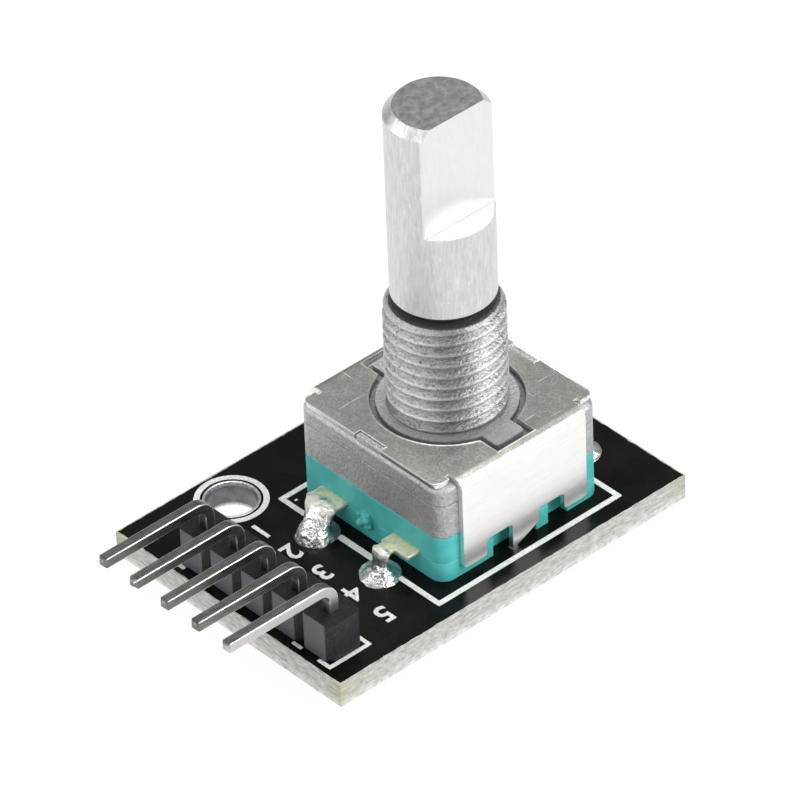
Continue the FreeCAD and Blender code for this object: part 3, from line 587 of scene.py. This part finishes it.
def named(name):
    piece = bpy.context.object
    piece.name = name
    piece.data.name = name
    only(piece)
    settle()
    return piece


def choose(kind, test):
    """In edit mode, select the faces, edges or vertices that pass a test."""
    bpy.ops.mesh.select_mode(type=kind)
    bpy.ops.mesh.select_all(action="DESELECT")
    mesh = bmesh.from_edit_mesh(bpy.context.object.data)
    for item in {"FACE": mesh.faces, "EDGE": mesh.edges, "VERT": mesh.verts}[kind]:
        if test(item):
            item.select_set(True)
    mesh.select_flush_mode()
    bmesh.update_edit_mesh(bpy.context.object.data)


def middle(edge):
    return (edge.verts[0].co + edge.verts[1].co) / 2


def run(edge):
    return edge.verts[1].co - edge.verts[0].co


def upright(edge):
    way = run(edge)
    return abs(way.z) > 0.01 and way.xy.length < WELD


def cube(name, low, high):
    low, high = Vector(low), Vector(high)
    bpy.ops.object.select_all(action="DESELECT")
    bpy.ops.mesh.primitive_cube_add(size=1, location=(low + high) / 2, scale=high - low)
    return named(name)


def cylinder(name, radius, low, high, centre=(0, 0), sides=96):
    bpy.ops.object.select_all(action="DESELECT")
    bpy.ops.mesh.primitive_cylinder_add(
        vertices=sides, radius=radius, depth=high - low, location=(*centre, (low + high) / 2)
    )
    return named(name)


def ellipsoid(name, centre, radii):
    bpy.ops.object.select_all(action="DESELECT")
    bpy.ops.mesh.primitive_uv_sphere_add(
        segments=32, ring_count=16, radius=1, location=centre, scale=radii
    )
    return named(name)


def modify(piece, kind, **settings):
    """Add a modifier and apply it."""
    only(piece)
    item = piece.modifiers.new(kind.lower(), kind)
    for label, value in settings.items():
        setattr(item, label, value)
    bpy.ops.object.modifier_apply(modifier=item.name)
    return piece


def combine(piece, tool, operation):
    """Boolean with a second piece, which is used up."""
    modify(piece, "BOOLEAN", operation=operation, object=tool, solver="EXACT")
    bpy.data.objects.remove(tool)
    return piece


def join(pieces):
    only(pieces[0])
    for piece in pieces:
        piece.select_set(True)
    bpy.ops.object.join()
    return pieces[0]


def roughen(piece, strength, size):
    """Push the surface in and out by a cloud pattern."""
    clouds = bpy.data.textures.new(piece.name + "_clouds", type="CLOUDS")
    clouds.noise_scale = size
    clouds.noise_depth = 3
    modify(
        piece, "DISPLACE", texture=clouds, texture_coords="LOCAL", strength=strength, mid_level=0.5
    )
    return piece


def round_edges(piece, width, test, segments=3):
    with editing(piece):
        choose("EDGE", test)
        bpy.ops.mesh.bevel(
            offset=width, segments=segments, profile=0.5, affect="EDGES", clamp_overlap=True
        )
    return piece


def soften(piece, width, segments=2, angle=35, finish=-1):
    """A small round on every edge sharper than the angle, which may take a finish of its own."""
    return modify(
        piece,
        "BEVEL",
        width=width,
        segments=segments,
        limit_method="ANGLE",
        angle_limit=math.radians(angle),
        use_clamp_overlap=True,
        miter_outer="MITER_ARC",
        material=finish,
    )


def trace(name, points):
    """A chain of edges: one vertex extruded from point to point."""
    points = [Vector(point) for point in points]
    bpy.ops.object.select_all(action="DESELECT")
    bpy.ops.mesh.primitive_plane_add(size=0.1, location=points[0])
    piece = named(name)
    with editing(piece):
        bpy.ops.mesh.select_mode(type="VERT")
        bpy.ops.mesh.select_all(action="SELECT")
        bpy.ops.mesh.merge(type="CENTER")
        for start, end in zip(points, points[1:]):
            bpy.ops.mesh.extrude_vertices_move(TRANSFORM_OT_translate={"value": end - start})
    return piece


def face_outward(piece, weld=0.0):
    """Turn every face outwards, after merging points closer than the weld."""
    with editing(piece):
        bpy.ops.mesh.select_all(action="SELECT")
        if weld:
            bpy.ops.mesh.remove_doubles(threshold=weld)
        bpy.ops.mesh.normals_make_consistent(inside=False)
    return piece


def lathe(name, outline, centre=(0, 0), steps=96):
    """A closed turned shape from (radius, level) points."""
    points = [(centre[0] + radius, centre[1], level) for radius, level in outline]
    piece = trace(name, points)
    with editing(piece):
        bpy.ops.mesh.select_all(action="SELECT")
        bpy.ops.mesh.spin(
            steps=steps, angle=math.tau, center=(*centre, 0), axis=(0, 0, 1), use_auto_merge=True
        )
    return face_outward(piece, WELD)


def slice_off(piece, point, way):
    """Cut the piece by a plane, drop what lies along the way, and close the cut."""
    with editing(piece):
        bpy.ops.mesh.select_all(action="SELECT")
        bpy.ops.mesh.bisect(plane_co=point, plane_no=way, use_fill=True, clear_outer=True)
    return piece


def copy_node(node, name):
    """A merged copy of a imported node's mesh, in millimetres."""
    only(frame["nodes"][node])
    bpy.ops.object.duplicate()
    piece = bpy.context.object
    bpy.ops.object.parent_clear(type="CLEAR_KEEP_TRANSFORM")
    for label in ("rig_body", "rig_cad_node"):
        del piece[label]
    piece.scale = (1 / MM,) * 3
    piece = named(name)
    bpy.ops.mesh.customdata_custom_splitnormals_clear()
    with editing(piece):
        bpy.ops.mesh.select_all(action="SELECT")
        bpy.ops.mesh.remove_doubles(threshold=WELD)
        bpy.ops.mesh.dissolve_limited(angle_limit=math.radians(1))
    return piece


def deliver(piece, body, slot, finish, *replaced, angle=38, edge=None):
    """Hand a finished piece to the body that it rides on."""
    piece.scale = (MM,) * 3
    only(piece)
    settle()
    bpy.ops.object.shade_smooth_by_angle(angle=math.radians(angle))
    modify(piece, "WEIGHTED_NORMAL", keep_sharp=True)
    kept = [face.material_index for face in piece.data.polygons]
    piece.data.materials.clear()
    piece.data.materials.append(finish)
    if edge:
        piece.data.materials.append(edge)
        piece.data.polygons.foreach_set("material_index", kept)
    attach(piece, body)
    if replaced:
        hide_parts(*replaced)
    return piece


def redraw(node, name, width, slot, finish, segments=2):
    """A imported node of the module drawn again, with its edges softened."""
    deliver(soften(copy_node(node, name), width, segments), "module", slot, finish, node)


# ---------------------------------------------------------------- board and its plating

redraw("circuit_board", "board", 0.05, "solder_mask", BOARD)

HOLES = [(-9.16, 8.12), (7.84, 8.12)]
PIN_ROWS = [4.89, 2.35, -0.19, -2.73, -5.27]
LEGS = [(7.6, 2.5), (7.6, 0.0), (7.6, -2.5), (-7.6, 2.5), (-7.6, -2.5)]
FOIL = 0.035


def make_plated_holes():
    rims = []
    for number, centre in enumerate(HOLES):
        high, low = BOARD_TOP + FOIL, BOARD_BOTTOM - FOIL
        outline = [
            (1.66, high - 0.05),
            (1.645, high - 0.01),
            (1.61, high),
            (1.54, high - 0.005),
            (1.505, high - 0.03),
            (1.49, high - 0.09),
            (1.49, low + 0.09),
            (1.505, low + 0.03),
            (1.54, low + 0.005),
            (1.61, low),
            (1.645, low + 0.01),
            (1.66, low + 0.05),
            (1.66, high - 0.05),
        ]
        rims.append(lathe(f"plated_hole_{number}", outline, centre))
    deliver(join(rims), "module", "plating", PLATING, "hole_plating")


def annulus(name, centre, inner, outer, low, high, steps=64):
    lip = (high - low) * 0.3
    outline = [
        (inner, low),
        (inner, high - lip),
        (inner + lip, high),
        (outer - lip, high),
        (outer, high - lip),
        (outer, low),
        (inner, low),
    ]
    return lathe(name, outline, centre, steps)


def make_pads():
    """Tinned rings of copper round the soldered holes, on both faces."""
    places = [((HEADER_X, row), 0.5, 0.98) for row in PIN_ROWS]
    places += [(leg, 0.6, 1.18) for leg in LEGS]
    pads = []
    for number, (centre, inner, outer) in enumerate(places):
        low, high = BOARD_TOP - 0.01, BOARD_TOP + FOIL
        pads.append(annulus(f"pad_{number}", centre, inner, outer, low, high, 48))
        low, high = BOARD_BOTTOM + 0.01, BOARD_BOTTOM - FOIL
        pads.append(annulus(f"under_pad_{number}", centre, inner, outer, low, high, 48))
    deliver(face_outward(join(pads)), "module", "plating", PLATING)


make_plated_holes()
make_pads()

# ---------------------------------------------------------------- ink

INK_HIGH = BOARD_TOP + 0.022
INK_LINE = 0.34


def stroke(start, end, width=INK_LINE, low=BOARD_TOP - 0.01, high=INK_HIGH):
    """One straight run of ink with rounded ends."""
    start, end = Vector(start), Vector(end)
    length = (end - start).length
    half = width / 2
    bar = cube("stroke", (-half, -half, low), (length + half, half, high))
    round_edges(bar, half * 0.45, upright, 4)
    bar.rotation_euler.z = math.atan2(end.y - start.y, end.x - start.x)
    bar.location = (start.x, start.y, 0)
    only(bar)
    settle()
    return bar


def path(points, width=INK_LINE, low=BOARD_TOP - 0.01, high=INK_HIGH):
    """Runs from point to point, each a hair thicker than the last, so that none lie level."""
    hair = HAIR if high > BOARD_TOP else 0.0
    dip = HAIR - hair
    return [
        stroke(start, end, width, low - dip * number, high + hair * number)
        for number, (start, end) in enumerate(zip(points, points[1:]))
    ]


def digit(number, centre, size, low, thick, under=False):
    """A plain number whose top points along -Y, or along +Y under the board."""
    bpy.ops.object.select_all(action="DESELECT")
    bpy.ops.object.text_add(location=(0, 0, 0))
    text = bpy.context.object
    text.data.body = str(number)
    text.data.align_x = "CENTER"
    text.data.align_y = "CENTER"
    text.data.size = size
    text.data.offset = size * 0.018
    text.data.extrude = thick / 2
    bpy.ops.object.convert(target="MESH")
    text = bpy.context.object
    text.rotation_euler = (math.pi, 0, math.pi) if under else (0, 0, math.pi)
    text.location = (*centre, low + thick / 2)
    return named(f"digit_{number}")


def make_ink():
    left, right, low, high = -7.14, 6.40, -6.80, 6.15
    corners = [(left, high), (right, high), (right, low), (left, low)]
    bars = path([(left, 3.85), *corners, (left, -3.75)])
    bars += path([(left + 0.05, 1.25), (left + 0.05, -1.55)], width=0.42)
    back, front = HEADER_X - 1.43, HEADER_X + 1.43
    bars += path([(back, -5.85), (back, -6.66), (front, -6.66), (front, -5.85)], width=0.26)
    bars += path([(back, 5.45), (back, 6.28), (front, 6.28), (front, 5.45)], width=0.26)
    for row in PIN_ROWS[1:]:
        bars += path([(back, row + 1.0), (back, row + 1.55)], width=0.22)
    bars += [stroke((-6.66, 5.52), (-6.62, 5.52), width=0.14)]
    for number, centre in enumerate(HOLES):
        bars.append(annulus(f"ring_{number}", centre, 1.79, 2.14, BOARD_TOP - 0.01, INK_HIGH, 96))
    column, under_column = -9.9, -11.95
    for number, row in enumerate(PIN_ROWS, start=1):
        bars.append(digit(number, (column, row), 1.9, BOARD_TOP - 0.01, 0.032))
        level = BOARD_BOTTOM - 0.045
        bars.append(digit(number, (under_column, row), 1.3, level, 0.05, under=True))
    deliver(join(bars), "module", "solder_mask", INK, angle=30)


make_ink()

# ---------------------------------------------------------------- header

redraw("header_housing", "header_blocks", 0.07, "header_plastic", HOUSING)
for pin in ("gnd", "plus", "sw", "dt", "clk"):
    node = "header_pin_" + pin
    piece = copy_node(node, "bent_pin_" + pin)
    # The rounded corners take the painted edge highlight.
    piece.data.materials.append(None)
    soften(piece, 0.055, 3, angle=60, finish=1)
    deliver(piece, "module", "tinned_pin", PIN, node, edge=EDGE_HIGHLIGHT)

# ---------------------------------------------------------------- casting with the threaded bushing

PITCH = 0.75
CREST = 3.45
ROOT = 3.02
BORE = 2.45
HOLLOW = 4.9
BLOCK_HALF_X = 6.0
BLOCK_HALF_Y = 5.85
KEY_HALF = 1.05
KEY_REACH = 5.15


def make_thread():
    """A right-hand thread: one turn of its outline swept up the bushing."""
    foot = -1.5
    outline = [
        (ROOT, foot),
        (ROOT + 0.02, foot + 0.10),
        (CREST - 0.09, foot + 0.29),
        (CREST - 0.01, foot + 0.36),
        (CREST, foot + 0.42),
        (CREST - 0.03, foot + 0.48),
        (CREST - 0.12, foot + 0.55),
        (ROOT + 0.02, foot + 0.71),
        (ROOT, foot + PITCH),
    ]
    rod = trace("thread", [(radius, 0, level) for radius, level in outline])
    modify(
        rod,
        "SCREW",
        screw_offset=PITCH,
        iterations=13,
        steps=72,
        render_steps=72,
        use_merge_vertices=True,
        merge_threshold=0.001,
    )
    face_outward(rod, 1e-3)
    slice_off(rod, (0, 0, BLOCK_TOP - 0.25), (0, 0, -1))
    slice_off(rod, (0, 0, BUSHING_TOP), (0, 0, 1))
    face_outward(rod)
    envelope = lathe(
        "envelope",
        [
            (0, -1),
            (CREST + 0.2, -1),
            (CREST + 0.2, 6.30),
            (CREST - 0.12, 6.66),
            (CREST - 0.28, BUSHING_TOP - 0.05),
            (CREST - 0.34, BUSHING_TOP),
            (0, BUSHING_TOP),
        ],
    )
    return combine(rod, envelope, "INTERSECT")


def make_casting():
    low = (-BLOCK_HALF_X, -BLOCK_HALF_Y, CAST_LOW.z)
    block = cube("casting", low, (BLOCK_HALF_X, BLOCK_HALF_Y, BLOCK_TOP))
    round_edges(block, 0.9, upright, 8)
    round_edges(block, 0.28, lambda edge: middle(edge).z > BLOCK_TOP - WELD, 4)
    round_edges(block, 0.08, lambda edge: middle(edge).z < CAST_LOW.z + WELD, 2)
    boss = cylinder("boss", 4.0, BLOCK_TOP - 0.5, 0)
    keys = cube("keys", (-KEY_HALF, -KEY_REACH, BLOCK_TOP - 0.5), (KEY_HALF, KEY_REACH, 0))
    round_edges(keys, 0.25, upright, 4)
    combine(boss, keys, "UNION")
    soften(boss, 0.09, 3)
    combine(block, boss, "UNION")
    for low, high in (((-5.88, -0.86), (-5.50, 1.06)), ((5.50, -1.06), (5.88, 0.86))):
        rib = cube("rib", (*low, BLOCK_TOP - 0.4), (*high, -0.02))
        soften(rib, 0.07, 3)
        combine(block, rib, "UNION")
    hollow = lathe(
        "hollow",
        [
            (0, CAST_LOW.z - 0.5),
            (HOLLOW, CAST_LOW.z - 0.5),
            (HOLLOW, -1.2),
            (BORE, -1.2),
            (BORE, BUSHING_TOP + 0.5),
            (0, BUSHING_TOP + 0.5),
        ],
    )
    thread = make_thread()
    for piece in (block, thread):
        bore = hollow.copy()
        bore.data = hollow.data.copy()
        bpy.context.collection.objects.link(bore)
        combine(piece, bore, "DIFFERENCE")
    bpy.data.objects.remove(hollow)
    roughen(thread, 0.07, 0.35)
    deliver(thread, "module", "die_cast", THREAD, angle=50)
    deliver(block, "module", "die_cast", CASTING, "bushing_housing")


make_casting()

# ---------------------------------------------------------------- cover, bases and terminals


def make_cover():
    """The folded cover, with a painted highlight where the sheet was cut."""
    cover = copy_node("cover_plate", "folded_cover")

    def through_sheet(edge):
        way = run(edge)
        return abs(way.y) > way.length * 0.99 and way.length < 0.5 and -6.2 < middle(edge).z < -4.8

    round_edges(cover, 0.24, through_sheet, 5)

    def cut_rim(edge):
        level = max(abs(vert.co.z) for vert in edge.verts) < 0.01
        return level and edge.calc_face_angle(0) > math.radians(40)

    with editing(cover):
        choose("EDGE", cut_rim)
        bpy.ops.mesh.duplicate()
        bpy.ops.mesh.separate(type="SELECTED")
    bead = [item for item in bpy.context.selected_objects if item is not cover][0]
    only(bead)
    bpy.ops.object.convert(target="CURVE")
    bead.data.bevel_depth = 0.06
    bead.data.bevel_resolution = 2
    bead.data.use_fill_caps = True
    bpy.ops.object.convert(target="MESH")
    bpy.context.object.location.z = -0.015
    bead = named("cover_bead")
    # The bead along the cut rim carries the painted edge highlight.
    deliver(bead, "module", "cover_steel", EDGE_HIGHLIGHT)
    cover.data.materials.append(None)
    soften(cover, 0.07, 3, finish=1)
    deliver(cover, "module", "cover_steel", SHEET, "cover_plate", edge=EDGE_HIGHLIGHT)


make_cover()
redraw("encoder_base", "upper_base", 0.08, "turquoise_plastic", TURQUOISE, 3)
redraw("switch_base", "lower_base", 0.08, "turquoise_plastic", TURQUOISE, 3)


def meld(name, lumps, voxel, passes, strength, size):
    """Overlapping lumps melted into one skin, then smoothed and roughened."""
    piece = join([ellipsoid(name, centre, radii) for centre, radii in lumps])
    modify(piece, "REMESH", mode="VOXEL", voxel_size=voxel, use_smooth_shade=True)
    modify(piece, "SMOOTH", factor=0.5, iterations=passes)
    return roughen(piece, strength, size)


def chain(name, stations, steps, voxel, passes, strength, size):
    """A run of lumps carried smoothly from station to station, melted into one skin."""
    lumps = []
    for (near, slim), (far, wide) in zip(stations, stations[1:]):
        near, slim, far, wide = Vector(near), Vector(slim), Vector(far), Vector(wide)
        for step in range(steps):
            lumps.append((near.lerp(far, step / steps), slim.lerp(wide, step / steps)))
    return meld(name, lumps + stations[-1:], voxel, passes, strength, size)


def make_nub():
    nub = meld(
        "gate_mark",
        [
            ((-6.02, 0.28, -5.44), (0.38, 0.52, 0.52)),
            ((-6.26, 0.50, -5.66), (0.30, 0.28, 0.30)),
            ((-6.28, -0.02, -5.26), (0.28, 0.26, 0.24)),
            ((-6.16, 0.62, -5.12), (0.26, 0.22, 0.20)),
            ((-6.22, -0.08, -5.66), (0.24, 0.22, 0.18)),
        ],
        0.04, 3, 0.14, 0.3,
    )
    deliver(nub, "module", "turquoise_plastic", TURQUOISE, angle=180)


make_nub()

for side in ("left", "right"):
    redraw("switch_terminal_" + side, "strip_" + side, 0.06, "contact_metal", STRIP, 3)
for row in ("a", "common", "b"):
    redraw("contact_" + row, "wiper_" + row, 0.05, "contact_metal", CONTACT, 3)

# ---------------------------------------------------------------- solder


def make_solder():
    """The joints above the board: tall on one strip, low on the other, small at the legs."""
    tall = [
        ((-8.12, 2.38, -6.78), (1.10, 1.14, 0.42)),
        ((-8.02, 2.42, -6.42), (0.98, 1.00, 0.50)),
        ((-7.80, 2.50, -6.08), (0.76, 0.90, 0.48)),
        ((-7.50, 2.66, -5.78), (0.60, 0.94, 0.44)),
        ((-7.26, 2.82, -5.44), (0.52, 1.06, 0.40)),
        ((-6.98, 2.94, -5.25), (0.42, 1.18, 0.24)),
    ]
    low = [
        ((-7.78, -2.70, -6.84), (1.26, 1.22, 0.26)),
        ((-7.78, -2.70, -6.66), (0.98, 0.98, 0.26)),
        ((-7.74, -2.68, -6.42), (0.56, 0.66, 0.30)),
        ((-7.68, -2.60, -6.00), (0.34, 0.50, 0.30)),
        ((-7.60, -2.56, -5.62), (0.30, 0.60, 0.30)),
        ((-7.46, -2.54, -5.28), (0.34, 0.66, 0.16)),
    ]
    joints = [
        chain("joint_left", tall, 4, 0.05, 10, 0.10, 0.45),
        chain("joint_right", low, 4, 0.05, 4, 0.10, 0.35),
    ]
    for number, (across, row) in enumerate(LEGS[:3]):
        stations = [
            ((across + 0.22, row, -6.84), (1.12, 1.08, 0.30)),
            ((across + 0.18, row, -6.58), (0.70, 0.76, 0.34)),
            ((across + 0.04, row, -6.12), (0.28, 0.58, 0.36)),
        ]
        joints.append(chain(f"joint_back_{number}", stations, 4, 0.06, 5, 0.08, 0.45))
    for joint in joints:
        slice_off(joint, (0, 0, BOARD_TOP), (0, 0, -1))
    deliver(join(joints), "module", "solder", SOLDER, "terminal_solder", angle=180)


def make_under_joints(name, places, wide, *replaced):
    """Round joints under the board, each about a lead that passes through it."""
    joints = []
    for number, (across, row) in enumerate(places):
        lumps = [
            ((across, row, BOARD_BOTTOM + 0.02), (wide, wide, 0.34)),
            ((across, row, BOARD_BOTTOM - 0.28), (wide * 0.62, wide * 0.62, 0.36)),
            ((across, row, BOARD_BOTTOM - 0.60), (wide * 0.42, wide * 0.42, 0.36)),
        ]
        piece = meld(f"{name}_{number}", lumps, 0.07, 6, 0.07, 0.5)
        joints.append(slice_off(piece, (0, 0, BOARD_BOTTOM), (0, 0, 1)))
    deliver(join(joints), "module", "solder", SOLDER, *replaced, angle=180)


make_solder()
make_under_joints("under_joint_leg", LEGS, 1.10)
PINS = [(HEADER_X, row) for row in PIN_ROWS]
LUGS = [(-0.82, 6.02), (-0.82, -6.02)]
make_under_joints("under_joint_pin", PINS, 0.94, "header_solder")
make_under_joints("under_joint_lug", LUGS, 1.02, "lug_solder")

# ---------------------------------------------------------------- underside

redraw("pullup_resistors", "chips", 0.04, "chip_body", CERAMIC)
redraw("resistor_end_caps", "chip_caps", 0.05, "chip_cap", SOLDER)


def make_tracks():
    """Masked copper runs under the board, from the header to the legs."""
    low, high = BOARD_BOTTOM - 0.03, BOARD_BOTTOM + 0.01
    routes = [
        [(HEADER_X, 4.89), (-12.0, 6.5), (5.0, 6.9), (6.6, 5.2), (7.6, 2.5)],
        [(HEADER_X, 2.35), (-12.2, 2.35), (-11.4, 1.6)],
        [(HEADER_X, -0.19), (-11.8, -0.19), (-9.6, 0.6), (-7.6, 2.5)],
        [(HEADER_X, -2.73), (-12.2, -3.6), (-5.0, -4.6), (3.2, -4.6), (7.6, -2.5)],
        [(HEADER_X, -5.27), (-12.4, -6.4), (5.6, -7.2), (9.4, -5.0), (9.4, -1.5), (7.6, 0.0)],
        [(-7.6, -2.5), (-4.5, 0.4), (5.2, 0.4), (7.6, 0.0)],
        [(-9.8, 1.6), (-4.0, 4.4), (4.6, 4.4), (7.6, 2.5)],
    ]
    bars = []
    for route in routes:
        bars += path(route, width=0.5, low=low, high=high)
    deliver(join(bars), "module", "solder_mask", TRACK, angle=30)


make_tracks()

# ---------------------------------------------------------------- shaft and the hidden mechanism


def make_shaft():
    """The D shaft: its tail with two flats, the ring's groove, the neck and the wide end."""
    top = SHAFT_HIGH.z
    tail, groove, neck = 1.95, 1.60, 2.40
    groove_low, groove_high = -1.45, -1.23
    outline = [
        (0, SHAFT_LOW.z),
        (tail - 0.2, SHAFT_LOW.z),
        (tail, SHAFT_LOW.z + 0.2),
        (tail, groove_low),
        (groove, groove_low),
        (groove, groove_high),
        (neck, groove_high),
        (neck, SHOULDER),
        (SHAFT_RADIUS - 0.08, SHOULDER),
        (SHAFT_RADIUS, SHOULDER + 0.08),
        (SHAFT_RADIUS, top - 0.56),
        (END_RADIUS, top),
        (0, top),
    ]
    shaft = lathe("d_shaft", outline, steps=160)
    flat = cube("flat", (-4, -4, FLAT_FOOT), (4, -FLAT_DEPTH, top + 1))

    def inner_foot(edge):
        place = middle(edge)
        return place.z < FLAT_FOOT + 0.01 and place.y > -FLAT_DEPTH - 0.01

    round_edges(flat, 0.12, inner_foot, 3)
    combine(shaft, flat, "DIFFERENCE")
    for side in (1, -1):
        low, high = sorted((1.45 * side, 3 * side))
        tool = cube("tail_flat", (-3, low, SHAFT_LOW.z - 1), (3, high, groove_low))
        combine(shaft, tool, "DIFFERENCE")
    soften(shaft, 0.05, 2, 40)
    deliver(shaft, "shaft", "shaft_metal", ALUMINIUM, "shaft")


make_shaft()

HIDDEN = {
    "retaining_ring": ("spring_steel", SPRING),
    "rotor": ("rotor_plastic", ACETAL),
    "code_disc": ("contact_metal", CONTACT),
    "detent_spring": ("spring_steel", SPRING),
    "switch_dome": ("spring_steel", SPRING),
    "switch_plunger": ("plunger_plastic", NYLON),
}
for node, (slot, finish) in HIDDEN.items():
    piece = frame["nodes"][node]
    piece.data.materials.clear()
    piece.data.materials.append(finish)

# ---------------------------------------------------------------- floor, light and camera


FLOOR_LEVEL = -0.0098


def make_floor():
    bpy.ops.object.select_all(action="DESELECT")
    bpy.ops.mesh.primitive_plane_add(size=3.0, location=(0, 0, FLOOR_LEVEL))
    floor = named("pale_floor")
    finish = Finish("pale_floor", Roughness=0.9, Specular_IOR_Level=0.1, Emission_Strength=0.94)
    finish.surface.inputs["Emission Color"].default_value = (1, 1, 0.995, 1)
    finish.surface.inputs["Base Color"].default_value = (0.10, 0.10, 0.10, 1)
    floor.data.materials.append(finish.material)


def make_light(name, place, size, power):
    """A soft square light that looks at the encoder."""
    data = bpy.data.lights.new(name, type="AREA")
    data.size = size
    data.energy = power
    light = bpy.data.objects.new(name, data)
    bpy.context.collection.objects.link(light)
    light.location = place
    light.rotation_euler = (-Vector(place)).to_track_quat("-Z", "Y").to_euler()


def make_world():
    world = bpy.data.worlds.new("studio")
    world.use_nodes = True
    background = world.node_tree.nodes["Background"]
    background.inputs["Color"].default_value = (1, 1, 1, 1)
    background.inputs["Strength"].default_value = 0.28
    bpy.context.scene.world = world


def make_camera():
    azimuth, elevation, roll = (math.radians(angle) for angle in (-40.986, 38.322, -2.267))
    distance = 0.46467
    target = Vector((-2.65, 1.3, -3.75)) * MM
    back = Vector(
        (
            math.sin(azimuth) * math.cos(elevation),
            -math.cos(azimuth) * math.cos(elevation),
            math.sin(elevation),
        )
    )
    side = Vector((math.cos(azimuth), math.sin(azimuth), 0))
    rise = back.cross(side)
    across = math.cos(roll) * side + math.sin(roll) * rise
    up = -math.sin(roll) * side + math.cos(roll) * rise
    data = bpy.data.cameras.new("camera")
    data.lens = 376.8
    data.sensor_width = 36
    data.shift_x = 0.0021
    data.shift_y = 0.0752
    data.clip_start = 0.01
    data.clip_end = 20
    camera = bpy.data.objects.new("camera", data)
    bpy.context.collection.objects.link(camera)
    camera.matrix_world = Matrix.Translation(target + back * distance) @ Matrix(
        (across, up, back)
    ).transposed().to_4x4()
    bpy.context.scene.camera = camera


make_floor()
make_light("key", (0.25, -0.55, 0.40), 0.45, 4.2)
make_light("fill", (-0.55, -0.15, 0.35), 0.40, 1.3)
make_light("rim", (-0.45, 0.45, 0.38), 0.40, 1.3)
make_light("top", (0.15, 0.10, 0.65), 0.40, 2.0)
make_world()
make_camera()
bpy.context.scene.view_settings.view_transform = "Standard"
